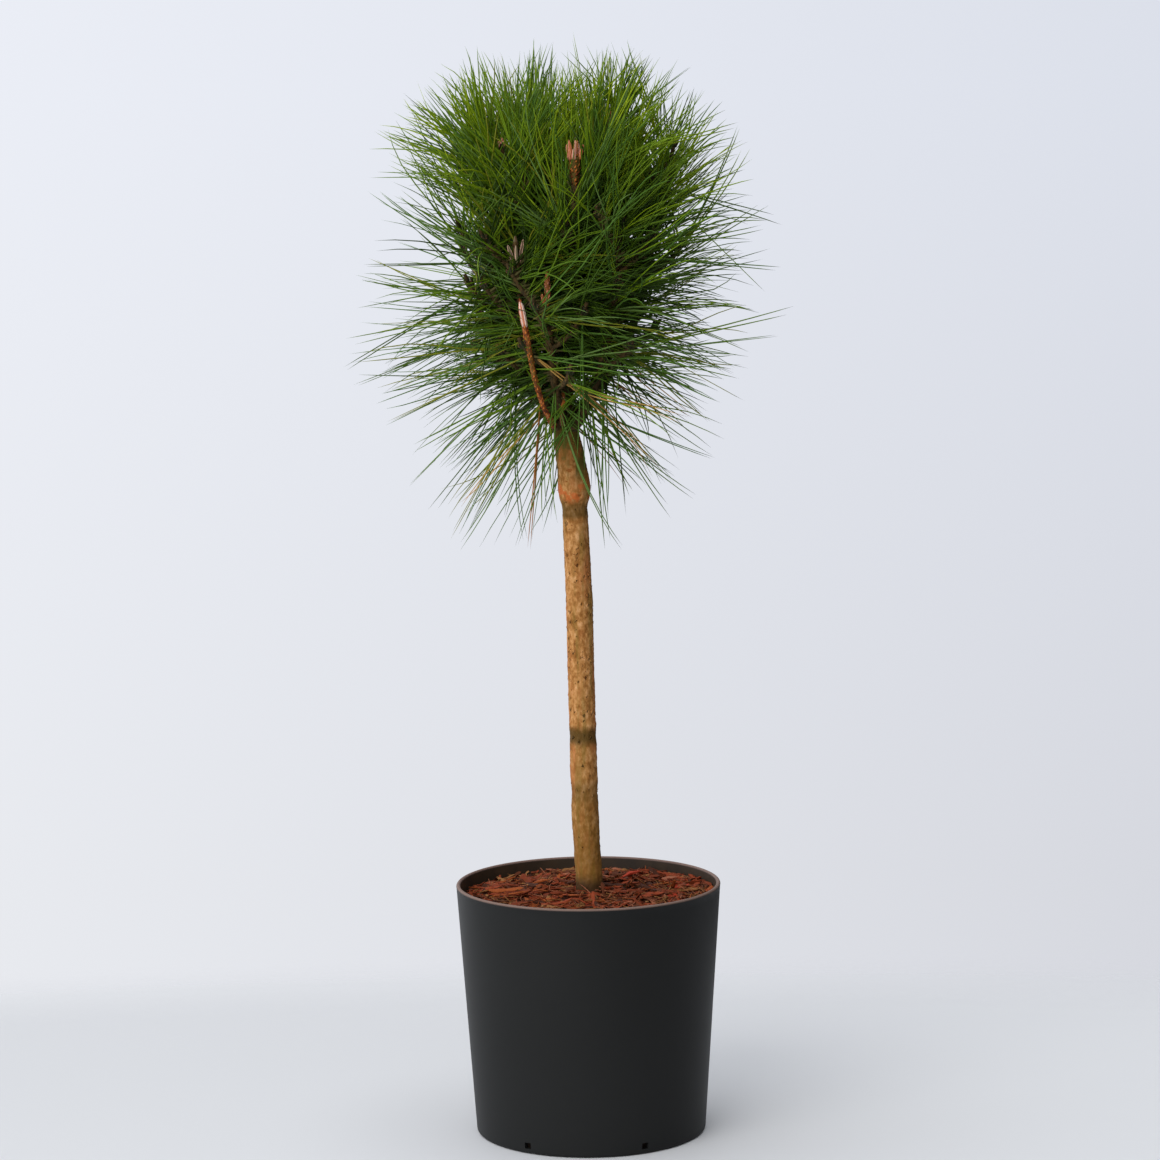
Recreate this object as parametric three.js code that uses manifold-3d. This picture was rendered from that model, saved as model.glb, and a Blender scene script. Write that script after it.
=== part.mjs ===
// A potted dwarf pine grafted on a clear stem, in millimetres, +Z up.
// The origin is the middle of the pot's flat underside, and -Y is the front.
import * as THREE from "three";
import { mergeVertices } from "three/addons/utils/BufferGeometryUtils.js";
import Module from "manifold-3d";

const wasm = await Module();
wasm.setup();

// Driving sizes of the pot and of what fills it
const POT_HEIGHT = 181;
const RIM_RADIUS = 95;
const BASE_RADIUS = 82.7;
const WALL = 3;
const FLOOR = 3.5;
const FOOT_ROUND = 2.5;
const POT_SIDES = 48;
const DRAIN_HOLES = 6;
const DRAIN_FIRST_TURN = -33;
const DRAIN_SIZE = { wide: 5, high: 4.5, from: 3.8 };
const GAP = 0.3;
const WALL_GAP = 0.5;
const FINEST = [0.03, 0.02, 0.04, 0.01, 0.06, 0.1, 0.15, 0.004];
const ROUNDING = 1e-4;
const MIX_TOP = 160;
const MULCH_EDGE_TOP = 170;
const MULCH_CROWN = 4.5;
const CHIP_COUNT = 30;

// The clear stem: height, sideways place and radius, from the flat cut on the potting mix,
// through the graft swelling at 470, to the tip inside the crown
const STEM = [
  { z: MIX_TOP + GAP, x: 1.8, r: 11.4 },
  { z: 170, x: 1.4, r: 10.4 },
  { z: 185, x: 0.7, r: 9.5 },
  { z: 220, x: -1.3, r: 9.6 },
  { z: 316, x: -3.0, r: 9.5 },
  { z: 386, x: -3.7, r: 9.5 },
  { z: 425, x: -5.2, r: 9.1 },
  { z: 453, x: -6.1, r: 9.1 },
  { z: 462, x: -6.3, r: 10.3 },
  { z: 470, x: -6.3, r: 11.5 },
  { z: 479, x: -7.3, r: 10.8 },
  { z: 491, x: -9.2, r: 9.1 },
  { z: 505, x: -11.6, r: 7.3 },
  { z: 535, x: -13.0, r: 6.2 },
  { z: 575, x: -12.5, r: 5.2 },
  { z: 612, x: -11.5, r: 4.3 },
];
const STEM_SIDES = 14;

// The shoots: where each leaves the stem's axis, and where its bud ends
const SHOOTS = [
  { name: "front", fork: 515, tip: [-23, -56, 612] },
  { name: "front_left", fork: 504, tip: [-45, -32, 646] },
  { name: "front_right", fork: 504, tip: [27, -42, 664] },
  { name: "right", fork: 514, tip: [56, 3, 692] },
  { name: "back_right", fork: 503, tip: [32, 42, 672] },
  { name: "back", fork: 515, tip: [-4, 58, 626] },
  { name: "back_left", fork: 504, tip: [-46, 38, 662] },
  { name: "left", fork: 514, tip: [-69, 2, 652] },
  { name: "front_middle", fork: 530, tip: [-3, -38, 706] },
  { name: "upper_left", fork: 572, tip: [-54, -10, 714] },
  { name: "upper_right", fork: 562, tip: [21, 4, 735] },
  { name: "upper_back", fork: 536, tip: [-30, 34, 722] },
];
const LEAVE_SIDEWAYS = 0.9;
const LEAVE_UPWARDS = 0.21;
const PATH_STEPS = 18;
const BOUGH_BASE_RADIUS = 3.9;
const BOUGH_TIP_RADIUS = 3.1;
const BOUGH_REACH = 15;
const BOUGH_SIDES = 6;
const BOUGH_STEPS = 3;

// The needles, each of which stands for a few pairs of real ones
const NEEDLES_PER_MASS = 50;
const NEEDLE_TRIES = 90;
const NEEDLE_LENGTH = 108;
const NEEDLE_SPREAD = 14;
const NEEDLE_LEAST = 62;
const NEEDLE_RADIUS = 2.2;
const TIP_SPACING = 11;
const MIDDLE_SPACING = 5.2;
const NEEDLE_BEND_AT = 0.36;
const ROOT_DEPTH = 0.85;
const CORE_SIDES = 6;
const CORE_STATIONS = 7;
const CORE_RADIUS = 10;
const CORE_SHARE = 0.45;
const BUD_LENGTH = 24;
const BUD_RADIUS = 4.2;
const CELL_MARGIN = 1.8;

// The crown's rounded outline, which the tips of the outer needles reach
const CROWN = { x: -10, z: 600, radius: 158, rise: 181, squareness: 2.4, drop: 198 };
const LIMB_MARGIN = 3;
const GOLDEN_TURN = 2.39996;

const MATERIALS = {
  pot: new THREE.MeshStandardMaterial({ color: 0x2b2d2f, roughness: 0.55, metalness: 0 }),
  mix: new THREE.MeshStandardMaterial({ color: 0x2e1c12, roughness: 1, metalness: 0 }),
  mulch: new THREE.MeshStandardMaterial({ color: 0x7a3a22, roughness: 0.9, metalness: 0 }),
  bark: new THREE.MeshStandardMaterial({ color: 0x9b7040, roughness: 0.85, metalness: 0 }),
  shoot: new THREE.MeshStandardMaterial({ color: 0x8a4a22, roughness: 0.8, metalness: 0 }),
  needles: new THREE.MeshStandardMaterial({ color: 0x3d6420, roughness: 0.5, metalness: 0 }),
};

const mix = (a, b, t) => a + (b - a) * t;
const UP = new THREE.Vector3(0, 0, 1);

// A seeded run of numbers from 0 to 1
function seeded(seed) {
  let state = seed >>> 0;
  return () => {
    state = (state + 0x6d2b79f5) >>> 0;
    let t = state;
    t = Math.imul(t ^ (t >>> 15), t | 1);
    t ^= t + Math.imul(t ^ (t >>> 7), t | 61);
    return ((t ^ (t >>> 14)) >>> 0) / 4294967296;
  };
}

// Reads a table of [place, value] rows at one place, straight between the rows
function read(table, place) {
  let row = 0;
  while (row < table.length - 2 && place > table[row + 1][0]) row += 1;
  const [p0, v0] = table[row];
  const [p1, v1] = table[row + 1];
  return mix(v0, v1, THREE.MathUtils.clamp((place - p0) / (p1 - p0), 0, 1));
}

// A closed mesh with shared corners as a solid
function solidOf(geometry) {
  const bare = geometry.clone();
  bare.deleteAttribute("normal");
  bare.deleteAttribute("uv");
  const merged = mergeVertices(bare, 1e-4);
  const corners = merged.index.array;
  const kept = [];
  for (let i = 0; i < corners.length; i += 3) {
    const [a, b, c] = [corners[i], corners[i + 1], corners[i + 2]];
    if (a !== b && b !== c && a !== c) kept.push(a, b, c);
  }
  const vertProperties = new Float32Array(merged.attributes.position.array);
  const triVerts = new Uint32Array(kept);
  return new wasm.Manifold(new wasm.Mesh({ numProp: 3, vertProperties, triVerts }));
}

function geometryOf(solid) {
  const { numProp, vertProperties, triVerts } = solid.getMesh();
  const count = vertProperties.length / numProp;
  const places = new Float32Array(count * 3);
  for (let i = 0; i < count; i += 1) {
    places.set(vertProperties.subarray(i * numProp, i * numProp + 3), i * 3);
  }
  const geometry = new THREE.BufferGeometry();
  geometry.setAttribute("position", new THREE.BufferAttribute(places, 3));
  geometry.setIndex(new THREE.BufferAttribute(new Uint32Array(triVerts), 1));
  geometry.computeVertexNormals();
  return geometry;
}

// Whether each edge still joins just two faces once the corners are rounded as a file keeps them
function staysClosed(solid) {
  const { numProp, vertProperties, triVerts } = solid.getMesh();
  const corner = (v) =>
    [0, 1, 2].map((axis) => Math.round(vertProperties[v * numProp + axis] / ROUNDING)).join();
  const names = Array.from({ length: vertProperties.length / numProp }, (_, v) => corner(v));
  const edges = new Set();
  for (let i = 0; i < triVerts.length; i += 3) {
    const face = [0, 1, 2].map((k) => names[triVerts[i + k]]);
    if (new Set(face).size < 3) continue;
    for (let k = 0; k < 3; k += 1) {
      const edge = face[k] + " " + face[(k + 1) % 3];
      if (edges.has(edge)) return false;
      edges.add(edge);
    }
  }
  return true;
}

// The largest single body of a solid, without loose scraps or faces too fine to keep
function largestBody(solid) {
  for (const finest of FINEST) {
    const bodies = solid.asOriginal().simplify(finest).decompose();
    const largest = bodies.reduce((best, body) => (body.volume() > best.volume() ? body : best));
    if (staysClosed(largest)) return largest;
  }
  throw new Error("a fused body doesn't stay closed when its corners are rounded");
}

function namedMesh(name, geometry, material) {
  const mesh = new THREE.Mesh(geometry, material);
  mesh.name = name;
  return mesh;
}

// A limb of round section through points with their radii; a radius of 0 at an end is a point.
// Its rings stand square to the given directions, or else to the line of points.
function limbGeometry(points, radii, sides, directions = null) {
  const places = [];
  const faces = [];
  const across = new THREE.Vector3(1, 0, 0);
  const rings = points.map((point, i) => {
    const before = points[Math.max(i - 1, 0)];
    const after = points[Math.min(i + 1, points.length - 1)];
    const along = directions ? directions[i].clone() : after.clone().sub(before).normalize();
    across.addScaledVector(along, -across.dot(along)).normalize();
    const third = along.clone().cross(across);
    if (radii[i] === 0) {
      places.push(...point.toArray());
      return [places.length / 3 - 1];
    }
    const ring = [];
    for (let k = 0; k < sides; k += 1) {
      const angle = (2 * Math.PI * k) / sides;
      const place = point
        .clone()
        .addScaledVector(across, radii[i] * Math.cos(angle))
        .addScaledVector(third, radii[i] * Math.sin(angle));
      places.push(...place.toArray());
      ring.push(places.length / 3 - 1);
    }
    return ring;
  });
  for (let i = 0; i + 1 < rings.length; i += 1) {
    const [low, high] = [rings[i], rings[i + 1]];
    for (let k = 0; k < sides; k += 1) {
      const next = (k + 1) % sides;
      if (high.length === 1) {
        faces.push(low[k], low[next], high[0]);
      } else if (low.length === 1) {
        faces.push(low[0], high[next], high[k]);
      } else {
        faces.push(low[k], low[next], high[next], low[k], high[next], high[k]);
      }
    }
  }
  const last = rings[rings.length - 1];
  for (let k = 1; k + 1 < sides; k += 1) {
    if (rings[0].length > 1) faces.push(rings[0][0], rings[0][k + 1], rings[0][k]);
    if (last.length > 1) faces.push(last[0], last[k], last[k + 1]);
  }
  const geometry = new THREE.BufferGeometry();
  geometry.setAttribute("position", new THREE.Float32BufferAttribute(places, 3));
  geometry.setIndex(faces);
  return geometry;
}

// A profile of [radius, height] points turned round the vertical
function turned(profile, sides) {
  const points = profile.map(([radius, height]) => new THREE.Vector2(radius, height));
  return new THREE.LatheGeometry(points, sides).rotateX(Math.PI / 2);
}

// Points on an arc of a profile, from one angle to another
function arc([middleRadius, middleHeight], radius, from, to, steps) {
  return Array.from({ length: steps + 1 }, (_, i) => {
    const angle = mix(from, to, i / steps);
    return [middleRadius + radius * Math.cos(angle), middleHeight + radius * Math.sin(angle)];
  });
}

const outerRadius = (z) => mix(BASE_RADIUS, RIM_RADIUS, z / POT_HEIGHT);
const innerRadius = (z) => outerRadius(z) - WALL;

function makePot() {
  const lip = WALL / 2;
  const lipMiddle = [RIM_RADIUS - lip, POT_HEIGHT - lip];
  const footMiddle = [outerRadius(FOOT_ROUND) - FOOT_ROUND, FOOT_ROUND];
  const profile = [
    [0, 0],
    ...arc(footMiddle, FOOT_ROUND, -Math.PI / 2, 0, 2),
    ...arc(lipMiddle, lip, 0, Math.PI, 4),
    [innerRadius(FLOOR), FLOOR],
    [0, FLOOR],
  ];
  const { wide, high, from } = DRAIN_SIZE;
  const cutters = Array.from({ length: DRAIN_HOLES }, (_, i) => {
    const turn = THREE.MathUtils.degToRad(DRAIN_FIRST_TURN - 90 + (360 / DRAIN_HOLES) * i);
    const block = new THREE.BoxGeometry(WALL * 4, wide, high);
    return solidOf(block.translate(BASE_RADIUS - WALL / 2, 0, from + high / 2).rotateZ(turn));
  });
  const shell = solidOf(turned(profile, POT_SIDES)).subtract(wasm.Manifold.union(cutters));
  return namedMesh("pot", geometryOf(shell), MATERIALS.pot);
}

function makePottingMix() {
  const low = FLOOR + GAP;
  const profile = [
    [0, low],
    [innerRadius(low) - WALL_GAP, low],
    [innerRadius(MIX_TOP) - WALL_GAP, MIX_TOP],
    [0, MIX_TOP],
  ];
  return namedMesh("potting_mix", turned(profile, POT_SIDES), MATERIALS.mix);
}

// The height of the mulch at one place: a low mound round the stem with small hollows
function mulchHeight(x, y) {
  const out = Math.hypot(x, y) / innerRadius(MULCH_EDGE_TOP);
  const hollows = Math.sin(x * 0.16 + 1) * Math.cos(y * 0.19) + 0.6 * Math.sin(x * 0.31 - y * 0.27);
  return MULCH_EDGE_TOP + MULCH_CROWN * (1 - out * out) + 0.8 * hollows * (1 - out ** 4);
}

// One flake of bark: a thin slab with its corners pulled about, lying on the mulch
function chipGeometry(random) {
  const length = mix(9, 28, random() ** 1.5);
  const width = mix(4.5, 8.5, random());
  const thick = mix(1.8, 3.2, random());
  const slab = new THREE.BoxGeometry(length, width, thick);
  slab.deleteAttribute("normal");
  slab.deleteAttribute("uv");
  const chip = mergeVertices(slab);
  const corners = chip.attributes.position;
  for (let i = 0; i < corners.count; i += 1) {
    const pinch = 1 - 0.35 * random();
    corners.setXYZ(i, corners.getX(i) * pinch, corners.getY(i) * (1.6 - pinch) * 0.8, corners.getZ(i));
  }
  const spin = random() * 2 * Math.PI;
  const tilt = (random() - 0.5) * 1.1;
  const out = mix(20, innerRadius(MULCH_EDGE_TOP) - length / 2 - 2, Math.sqrt(random()));
  const round = random() * 2 * Math.PI;
  const [x, y] = [out * Math.cos(round), out * Math.sin(round)];
  chip.rotateX((random() - 0.5) * 0.7).rotateY(tilt).rotateZ(spin);
  return chip.translate(x, y, mulchHeight(x, y) + thick * 0.25);
}

function makeMulch(stemHole) {
  const low = MIX_TOP + GAP;
  const edge = innerRadius(MULCH_EDGE_TOP) - WALL_GAP;
  const rings = [0.82, 0.6, 0.36].map((share) => [edge * share, MULCH_EDGE_TOP]);
  const slab = turned(
    [[0, low], [innerRadius(low) - WALL_GAP, low], [edge, MULCH_EDGE_TOP - 1], ...rings, [0, MULCH_EDGE_TOP]],
    36,
  );
  const corners = slab.attributes.position;
  for (let i = 0; i < corners.count; i += 1) {
    const [x, y, z] = [corners.getX(i), corners.getY(i), corners.getZ(i)];
    if (z > MULCH_EDGE_TOP - 0.5) corners.setZ(i, mulchHeight(x, y));
  }
  const random = seeded(11);
  const chips = Array.from({ length: CHIP_COUNT }, () => solidOf(chipGeometry(random)));
  const heap = wasm.Manifold.union([solidOf(slab), ...chips]).subtract(stemHole);
  return namedMesh("bark_mulch", geometryOf(largestBody(heap)), MATERIALS.mulch);
}

// The stem's axis and radius at one height
function stemAt(z) {
  const x = read(STEM.map((s) => [s.z, s.x]), z);
  return { axis: new THREE.Vector3(x, 0, z), radius: read(STEM.map((s) => [s.z, s.r]), z) };
}

// The stem with its radii grown by a clearance and its ends moved out by as much
function stemGeometry(grow = 0) {
  const points = STEM.map((s) => new THREE.Vector3(s.x, 0, s.z));
  points[0].z -= grow;
  points[points.length - 1].z += grow;
  return limbGeometry(points, STEM.map((s) => s.r + grow), STEM_SIDES, STEM.map(() => UP));
}

// A shoot's path leaves the stem sideways and turns up to its tip
function shootPath({ fork, tip }) {
  const start = stemAt(fork).axis;
  const end = new THREE.Vector3(...tip);
  const rise = end.clone().sub(start);
  const turn = start.clone().add(
    new THREE.Vector3(rise.x * LEAVE_SIDEWAYS, rise.y * LEAVE_SIDEWAYS, rise.z * LEAVE_UPWARDS),
  );
  const curve = new THREE.QuadraticBezierCurve3(start, turn, end);
  return { curve, line: curve.getSpacedPoints(PATH_STEPS), length: curve.getLength() };
}

// The distance from a place to the nearest part of a line of points
function distanceTo(line, place) {
  let least = Infinity;
  const near = new THREE.Vector3();
  const stretch = new THREE.Line3();
  for (let i = 0; i + 1 < line.length; i += 1) {
    stretch.set(line[i], line[i + 1]).closestPointToPoint(place, true, near);
    least = Math.min(least, near.distanceTo(place));
  }
  return least;
}

const stemLine = STEM.map((s) => new THREE.Vector3(s.x, 0, s.z));
const clearOfStem = (place) => distanceTo(stemLine, place) - stemAt(place.z).radius;

// How steeply a needle rises: by its root's height, and more near the shoot's tip
const RISE_BY_HEIGHT = [
  [500, -80],
  [522, -62],
  [545, -30],
  [565, -14],
  [595, 0],
  [630, 14],
  [665, 34],
  [695, 56],
  [720, 66],
];
const RISE_AT_TIP = 16;
const RISE_SPREAD = [24, 54];

// How far out a place is: 1 on the crown's outline, less inside it
function crownShare(place) {
  const out = Math.hypot(place.x - CROWN.x, place.y) / CROWN.radius;
  const up = place.z - CROWN.z;
  const power = up > 0 ? CROWN.squareness : 2;
  return (out ** power + Math.abs(up / (up > 0 ? CROWN.rise : CROWN.drop)) ** power) ** (1 / power);
}

// One needle's root, direction and bend, from its number on the shoot
function needleOn(shoot, along, number, random) {
  const root = shoot.path.curve.getPointAt(along);
  const degrees = read(RISE_BY_HEIGHT, root.z) + RISE_AT_TIP * Math.max(0, along * 2 - 1) ** 2;
  const spread = (random() - 0.5) * mix(...RISE_SPREAD, along);
  const rise = THREE.MathUtils.degToRad(Math.min(degrees + spread, 86));
  const turn = number * GOLDEN_TURN + (random() - 0.5) * 0.5;
  const level = new THREE.Vector3(Math.cos(turn), Math.sin(turn), 0);
  const heading = level.multiplyScalar(Math.cos(rise)).addScaledVector(UP, Math.sin(rise));
  const sag = mix(0.02, 0.15, random()) * Math.cos(rise);
  const reach = mix(0.84, 1, random());
  let length = NEEDLE_LENGTH + (random() - 0.5) * 2 * NEEDLE_SPREAD;
  const end = root.clone();
  const endsAt = () =>
    end.copy(root).addScaledVector(heading, length).addScaledVector(UP, -length * sag);
  while (length > NEEDLE_LEAST && crownShare(endsAt()) > reach) length -= 2;
  if (crownShare(endsAt()) > reach) return null;
  const bend = root.clone().addScaledVector(heading, length * NEEDLE_BEND_AT);
  const tip = root.clone().addScaledVector(heading, length).addScaledVector(UP, -length * sag);
  return { root, bend, tip };
}

// A needle is kept where it stays in its own mass's space and clear of the stem and the bough
function staysInside(shoot, needle, shoots) {
  const others = shoots.filter((other) => other !== shoot).map((other) => other.path.line);
  for (let step = 1; step <= 16; step += 1) {
    const share = step / 16;
    const place =
      share < NEEDLE_BEND_AT
        ? needle.root.clone().lerp(needle.bend, share / NEEDLE_BEND_AT)
        : needle.bend.clone().lerp(needle.tip, (share - NEEDLE_BEND_AT) / (1 - NEEDLE_BEND_AT));
    if (clearOfStem(place) < LIMB_MARGIN) return false;
    if (distanceTo(shoot.boughLine, place) < BOUGH_TIP_RADIUS + LIMB_MARGIN) return false;
    if (step < 3) continue;
    const own = distanceTo(shoot.path.line, place);
    if (others.some((line) => distanceTo(line, place) < own + 2 * CELL_MARGIN)) return false;
  }
  return true;
}

// The core's radius at one place: a share of the room to the nearest other limb
function coreRadius(shoot, place, shoots) {
  const others = shoots.filter((other) => other !== shoot);
  const room = Math.min(...others.map((other) => distanceTo(other.path.line, place)));
  const stemRoom = clearOfStem(place) - 2;
  return THREE.MathUtils.clamp(Math.min(room * CORE_SHARE - 1, stemRoom), 2.8, CORE_RADIUS);
}

// A limb along a curve, with its radius at each given place on it
function limbAlong(curve, places, radii, sides) {
  const points = places.map((place) => curve.getPointAt(place));
  return limbGeometry(points, radii, sides, places.map((place) => curve.getTangentAt(place)));
}

function makeBough(shoot, stemHole) {
  const shares = Array.from({ length: BOUGH_STEPS + 1 }, (_, i) => i / BOUGH_STEPS);
  const radii = shares.map((share) => mix(BOUGH_BASE_RADIUS, BOUGH_TIP_RADIUS, share));
  const places = shares.map((share) => share * shoot.boughEnd);
  const limb = solidOf(limbAlong(shoot.path.curve, places, radii, BOUGH_SIDES)).subtract(stemHole);
  return namedMesh("bough_" + shoot.name, geometryOf(largestBody(limb)), MATERIALS.shoot);
}

// The stem of a mass swells into its core, narrows below the bud and ends in it
function coreGeometry(shoot, shoots) {
  const { curve, length } = shoot.path;
  const first = shoot.boughEnd + GAP / length;
  const budStart = 1 - BUD_LENGTH / length;
  const places = [first];
  const radii = [BOUGH_TIP_RADIUS];
  for (let i = 1; i < CORE_STATIONS; i += 1) {
    const share = i / CORE_STATIONS;
    const place = mix(first, budStart, share);
    const swell = Math.sin(Math.PI * Math.min(1, share * 1.6 + 0.12) * 0.5) * (1 - 0.45 * share ** 3);
    places.push(place);
    radii.push(Math.max(2.8, coreRadius(shoot, curve.getPointAt(place), shoots) * swell));
  }
  for (const [share, radius] of [[0, 0.9], [0.3, 1], [0.75, 0.62], [1, 0]]) {
    places.push(mix(budStart, 1, share));
    radii.push(BUD_RADIUS * radius);
  }
  return limbAlong(curve, places, radii, CORE_SIDES);
}

function makeMass(shoot, shoots, seed, tips) {
  const random = seeded(seed);
  const first = shoot.boughEnd + 5 / shoot.path.length;
  const last = 1 - (BUD_LENGTH * 0.75) / shoot.path.length;
  const needles = [];
  for (let k = 0; k < NEEDLES_PER_MASS; k += 1) {
    const along = mix(first, last, (k + 0.5) / NEEDLES_PER_MASS);
    for (let attempt = 0; attempt < NEEDLE_TRIES; attempt += 1) {
      const needle = needleOn(shoot, along, k + attempt * 0.37, random);
      if (!needle || !staysInside(shoot, needle, shoots)) continue;
      const crowded = tips.some(
        (other) =>
          other.tip.distanceTo(needle.tip) < TIP_SPACING ||
          other.bend.distanceTo(needle.bend) < MIDDLE_SPACING,
      );
      if (crowded) continue;
      needles.push(needle);
      tips.push(needle);
      break;
    }
  }
  const spikes = needles.map(({ root, bend, tip }) => {
    const back = root.clone().sub(bend).setLength(ROOT_DEPTH * coreRadius(shoot, root, shoots));
    return solidOf(limbGeometry([back.add(root), bend, tip], [0, NEEDLE_RADIUS, 0], 3));
  });
  const brush = wasm.Manifold.union([solidOf(coreGeometry(shoot, shoots)), ...spikes]);
  return namedMesh("foliage_" + shoot.name, geometryOf(largestBody(brush)), MATERIALS.needles);
}

function makeShoots() {
  const shoots = SHOOTS.map((row) => ({ ...row, path: shootPath(row) }));
  for (const shoot of shoots) {
    const out = stemAt(shoot.fork).radius + BOUGH_REACH;
    shoot.boughEnd = out / shoot.path.length;
    shoot.boughLine = Array.from({ length: 5 }, (_, i) =>
      shoot.path.curve.getPointAt((shoot.boughEnd * i) / 4),
    );
  }
  return shoots;
}

function makeTree() {
  const tree = new THREE.Group();
  const stemHole = solidOf(stemGeometry(GAP));
  const shoots = makeShoots();
  tree.add(namedMesh("stem", stemGeometry(), MATERIALS.bark));
  const tips = [];
  shoots.forEach((shoot, i) => {
    tree.add(makeBough(shoot, stemHole));
    tree.add(makeMass(shoot, shoots, 100 + i, tips));
  });
  return { tree, stemHole };
}

const { tree, stemHole } = makeTree();
const plant = new THREE.Group();
plant.add(makePot(), makePottingMix(), makeMulch(stemHole), tree);

export default plant;
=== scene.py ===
import math

import bpy
import numpy as np
from mathutils import Matrix, Vector, noise


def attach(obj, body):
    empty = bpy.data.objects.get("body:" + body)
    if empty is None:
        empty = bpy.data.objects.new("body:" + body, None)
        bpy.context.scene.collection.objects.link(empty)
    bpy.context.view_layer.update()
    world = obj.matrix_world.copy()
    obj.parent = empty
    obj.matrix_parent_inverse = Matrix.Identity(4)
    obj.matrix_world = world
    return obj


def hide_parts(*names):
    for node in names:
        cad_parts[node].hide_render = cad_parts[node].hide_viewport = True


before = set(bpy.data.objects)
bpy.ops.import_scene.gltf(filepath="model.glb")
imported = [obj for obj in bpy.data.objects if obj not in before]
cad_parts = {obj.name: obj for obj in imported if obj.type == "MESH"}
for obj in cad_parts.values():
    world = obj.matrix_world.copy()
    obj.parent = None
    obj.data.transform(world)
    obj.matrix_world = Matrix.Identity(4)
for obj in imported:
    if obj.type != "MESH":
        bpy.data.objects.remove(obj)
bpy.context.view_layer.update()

# Sizes are in millimetres, as in the part's source, and become metres as each mesh is made
MM = 0.001
UP = np.array([0.0, 0.0, 1.0])
GOLDEN_TURN = 2.39996

# The camera of the photograph
CAMERA_PLACE = np.array([-3.08, -2600.0, 719.54])
CAMERA_PITCH = 7.01
CAMERA_ROLL = 0.76
CAMERA_LENS = 114.12

# How bright the studio is from the left and from the right
WORLD_LEFT = 1.3
WORLD_RIGHT = 0.08

# The pot and what fills it
POT_HEIGHT = 181.0
RIM_RADIUS = 95.0
BASE_RADIUS = 82.7
WALL = 3.0
FLOOR = 3.5
FOOT_ROUND = 2.5
DRAIN_HOLES = 6
DRAIN_FIRST_TURN = -33.0
DRAIN_WIDE = 5.0
DRAIN_FROM = 3.8
DRAIN_TO = 8.3
MIX_TOP = 160.3
MULCH_EDGE_TOP = 171.4
MULCH_CROWN = 4.5
MULCH_REACH = 90.6
STEM_FOOT = 1.6
BED_HOLE = 11.9
HOLLOW = (33, 8)

# How finely they are drawn: faces across a drain hole and a gap, degrees in an arc, rings and rows
HOLE_STEPS = 4
GAP_STEPS = 38
ARC_STEP = 15
WALL_HEIGHTS = (12, 30, 60, 95, 130, 160, 174)
BED_AROUND = 160
BED_STEPS = 46

# The loose bark: how many chips there are, the share of their length at which each part of one lies,
# how wide it is there, and one bright chip with its place, length, width, turn, pitch, lift and colour
CHIPS = 1450
CHIPS_BY_WALL = 210
LONG_STRIPS = 9
FIBRES = 620
CHIP_SHARES = np.array([0, 0.12, 0.3, 0.5, 0.7, 0.88, 1.0])
CHIP_PROFILE = np.array([0.45, 0.8, 1, 1, 0.95, 0.7, 0.0])
BRIGHT_CHIP = (31, 40, 15, 4.4, 0.2, 0.3, 3.6, 7)

# The clear stem: height, sideways place and radius
STEM = np.array([
    (160.3, 1.8, 11.4), (170, 1.4, 10.4), (185, 0.7, 9.5), (220, -1.3, 9.6),
    (316, -3.0, 9.5), (386, -3.7, 9.5), (425, -5.2, 9.1), (453, -6.1, 9.1),
    (460, -6.3, 10.6), (467, -6.2, 11.4), (477, -7.2, 10.9), (491, -9.2, 10.2),
    (503, -11.2, 9.4), (515, -12.4, 8.0), (535, -13.0, 6.4), (575, -12.5, 5.2), (612, -11.5, 4.3),
])

# The stem's skin: ring scars by height, half width and depth, and knots by height, turn and size
TRUNK_RINGS = 520
TRUNK_AROUND = 84
SOFTEN_STEPS = 9
RING_SCARS = ((288, 3.6, 0.3), (247, 4.5, 0.22), (452, 3.0, 0.25))
KNOTS = [
    (479, -102, 3.1), (471, -118, 1.6), (461, -72, 2.2), (440, -110, 1.1), (427, -108, 1.0), (419, -104, 1.3),
]
SMALL_KNOTS = 24
STAINED_FROM = 1.05
FLAKES = 260
PEGS = 20

# Its dark rings: height and half width in metres, and how dark
DARK_RINGS = ((0.288, 0.0048, 0.9), (0.247, 0.006, 0.4), (0.4505, 0.0045, 0.72))

# The shoots: where each leaves the stem's axis, and where its bud ends
SHOOTS = {
    "front": (515, (-23, -56, 612)),
    "front_left": (504, (-45, -32, 646)),
    "front_right": (504, (27, -42, 664)),
    "right": (514, (56, 3, 692)),
    "back_right": (503, (32, 42, 672)),
    "back": (515, (-4, 58, 626)),
    "back_left": (504, (-46, 38, 662)),
    "left": (514, (-69, 2, 652)),
    "front_middle": (530, (-3, -38, 706)),
    "upper_left": (572, (-54, -10, 714)),
    "upper_right": (562, (21, 4, 735)),
    "upper_back": (536, (-30, 34, 722)),
}
LEAVE_SIDEWAYS = 0.9
LEAVE_UPWARDS = 0.21
BOUGH_BASE_RADIUS = 3.9
BOUGH_TIP_RADIUS = 3.1
BOUGH_REACH = 15.0
SHOOT_POINTS = 60
CURVE_STEPS = 200

# Longer twigs that lead the crown: from a place or a shoot's share, towards a place, to their ends
LEADERS = {
    "upper_back": ((-11.5, 0, 606), (-12, -2, 640), (-11, 2, 676)),
    "upper_left": (0.6, (-64, -10, 684), (-72, -6, 720)),
    "right": (0.7, (65, 4, 680), (67, 7, 713)),
}
LEADER_POINTS = 24

# The short twigs: where each leaves its shoot, its length, and the room and reach that it keeps
TWIG_SHARES = (0.36, 0.5, 0.62, 0.74, 0.84)
TWIG_LENGTHS = (26, 44)
TWIG_ROOM = 5
TWIG_REACH = 0.66
TWIG_TRIES = 10
TWIG_POINTS = 20
TWIG_FREE_FROM = 8

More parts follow.
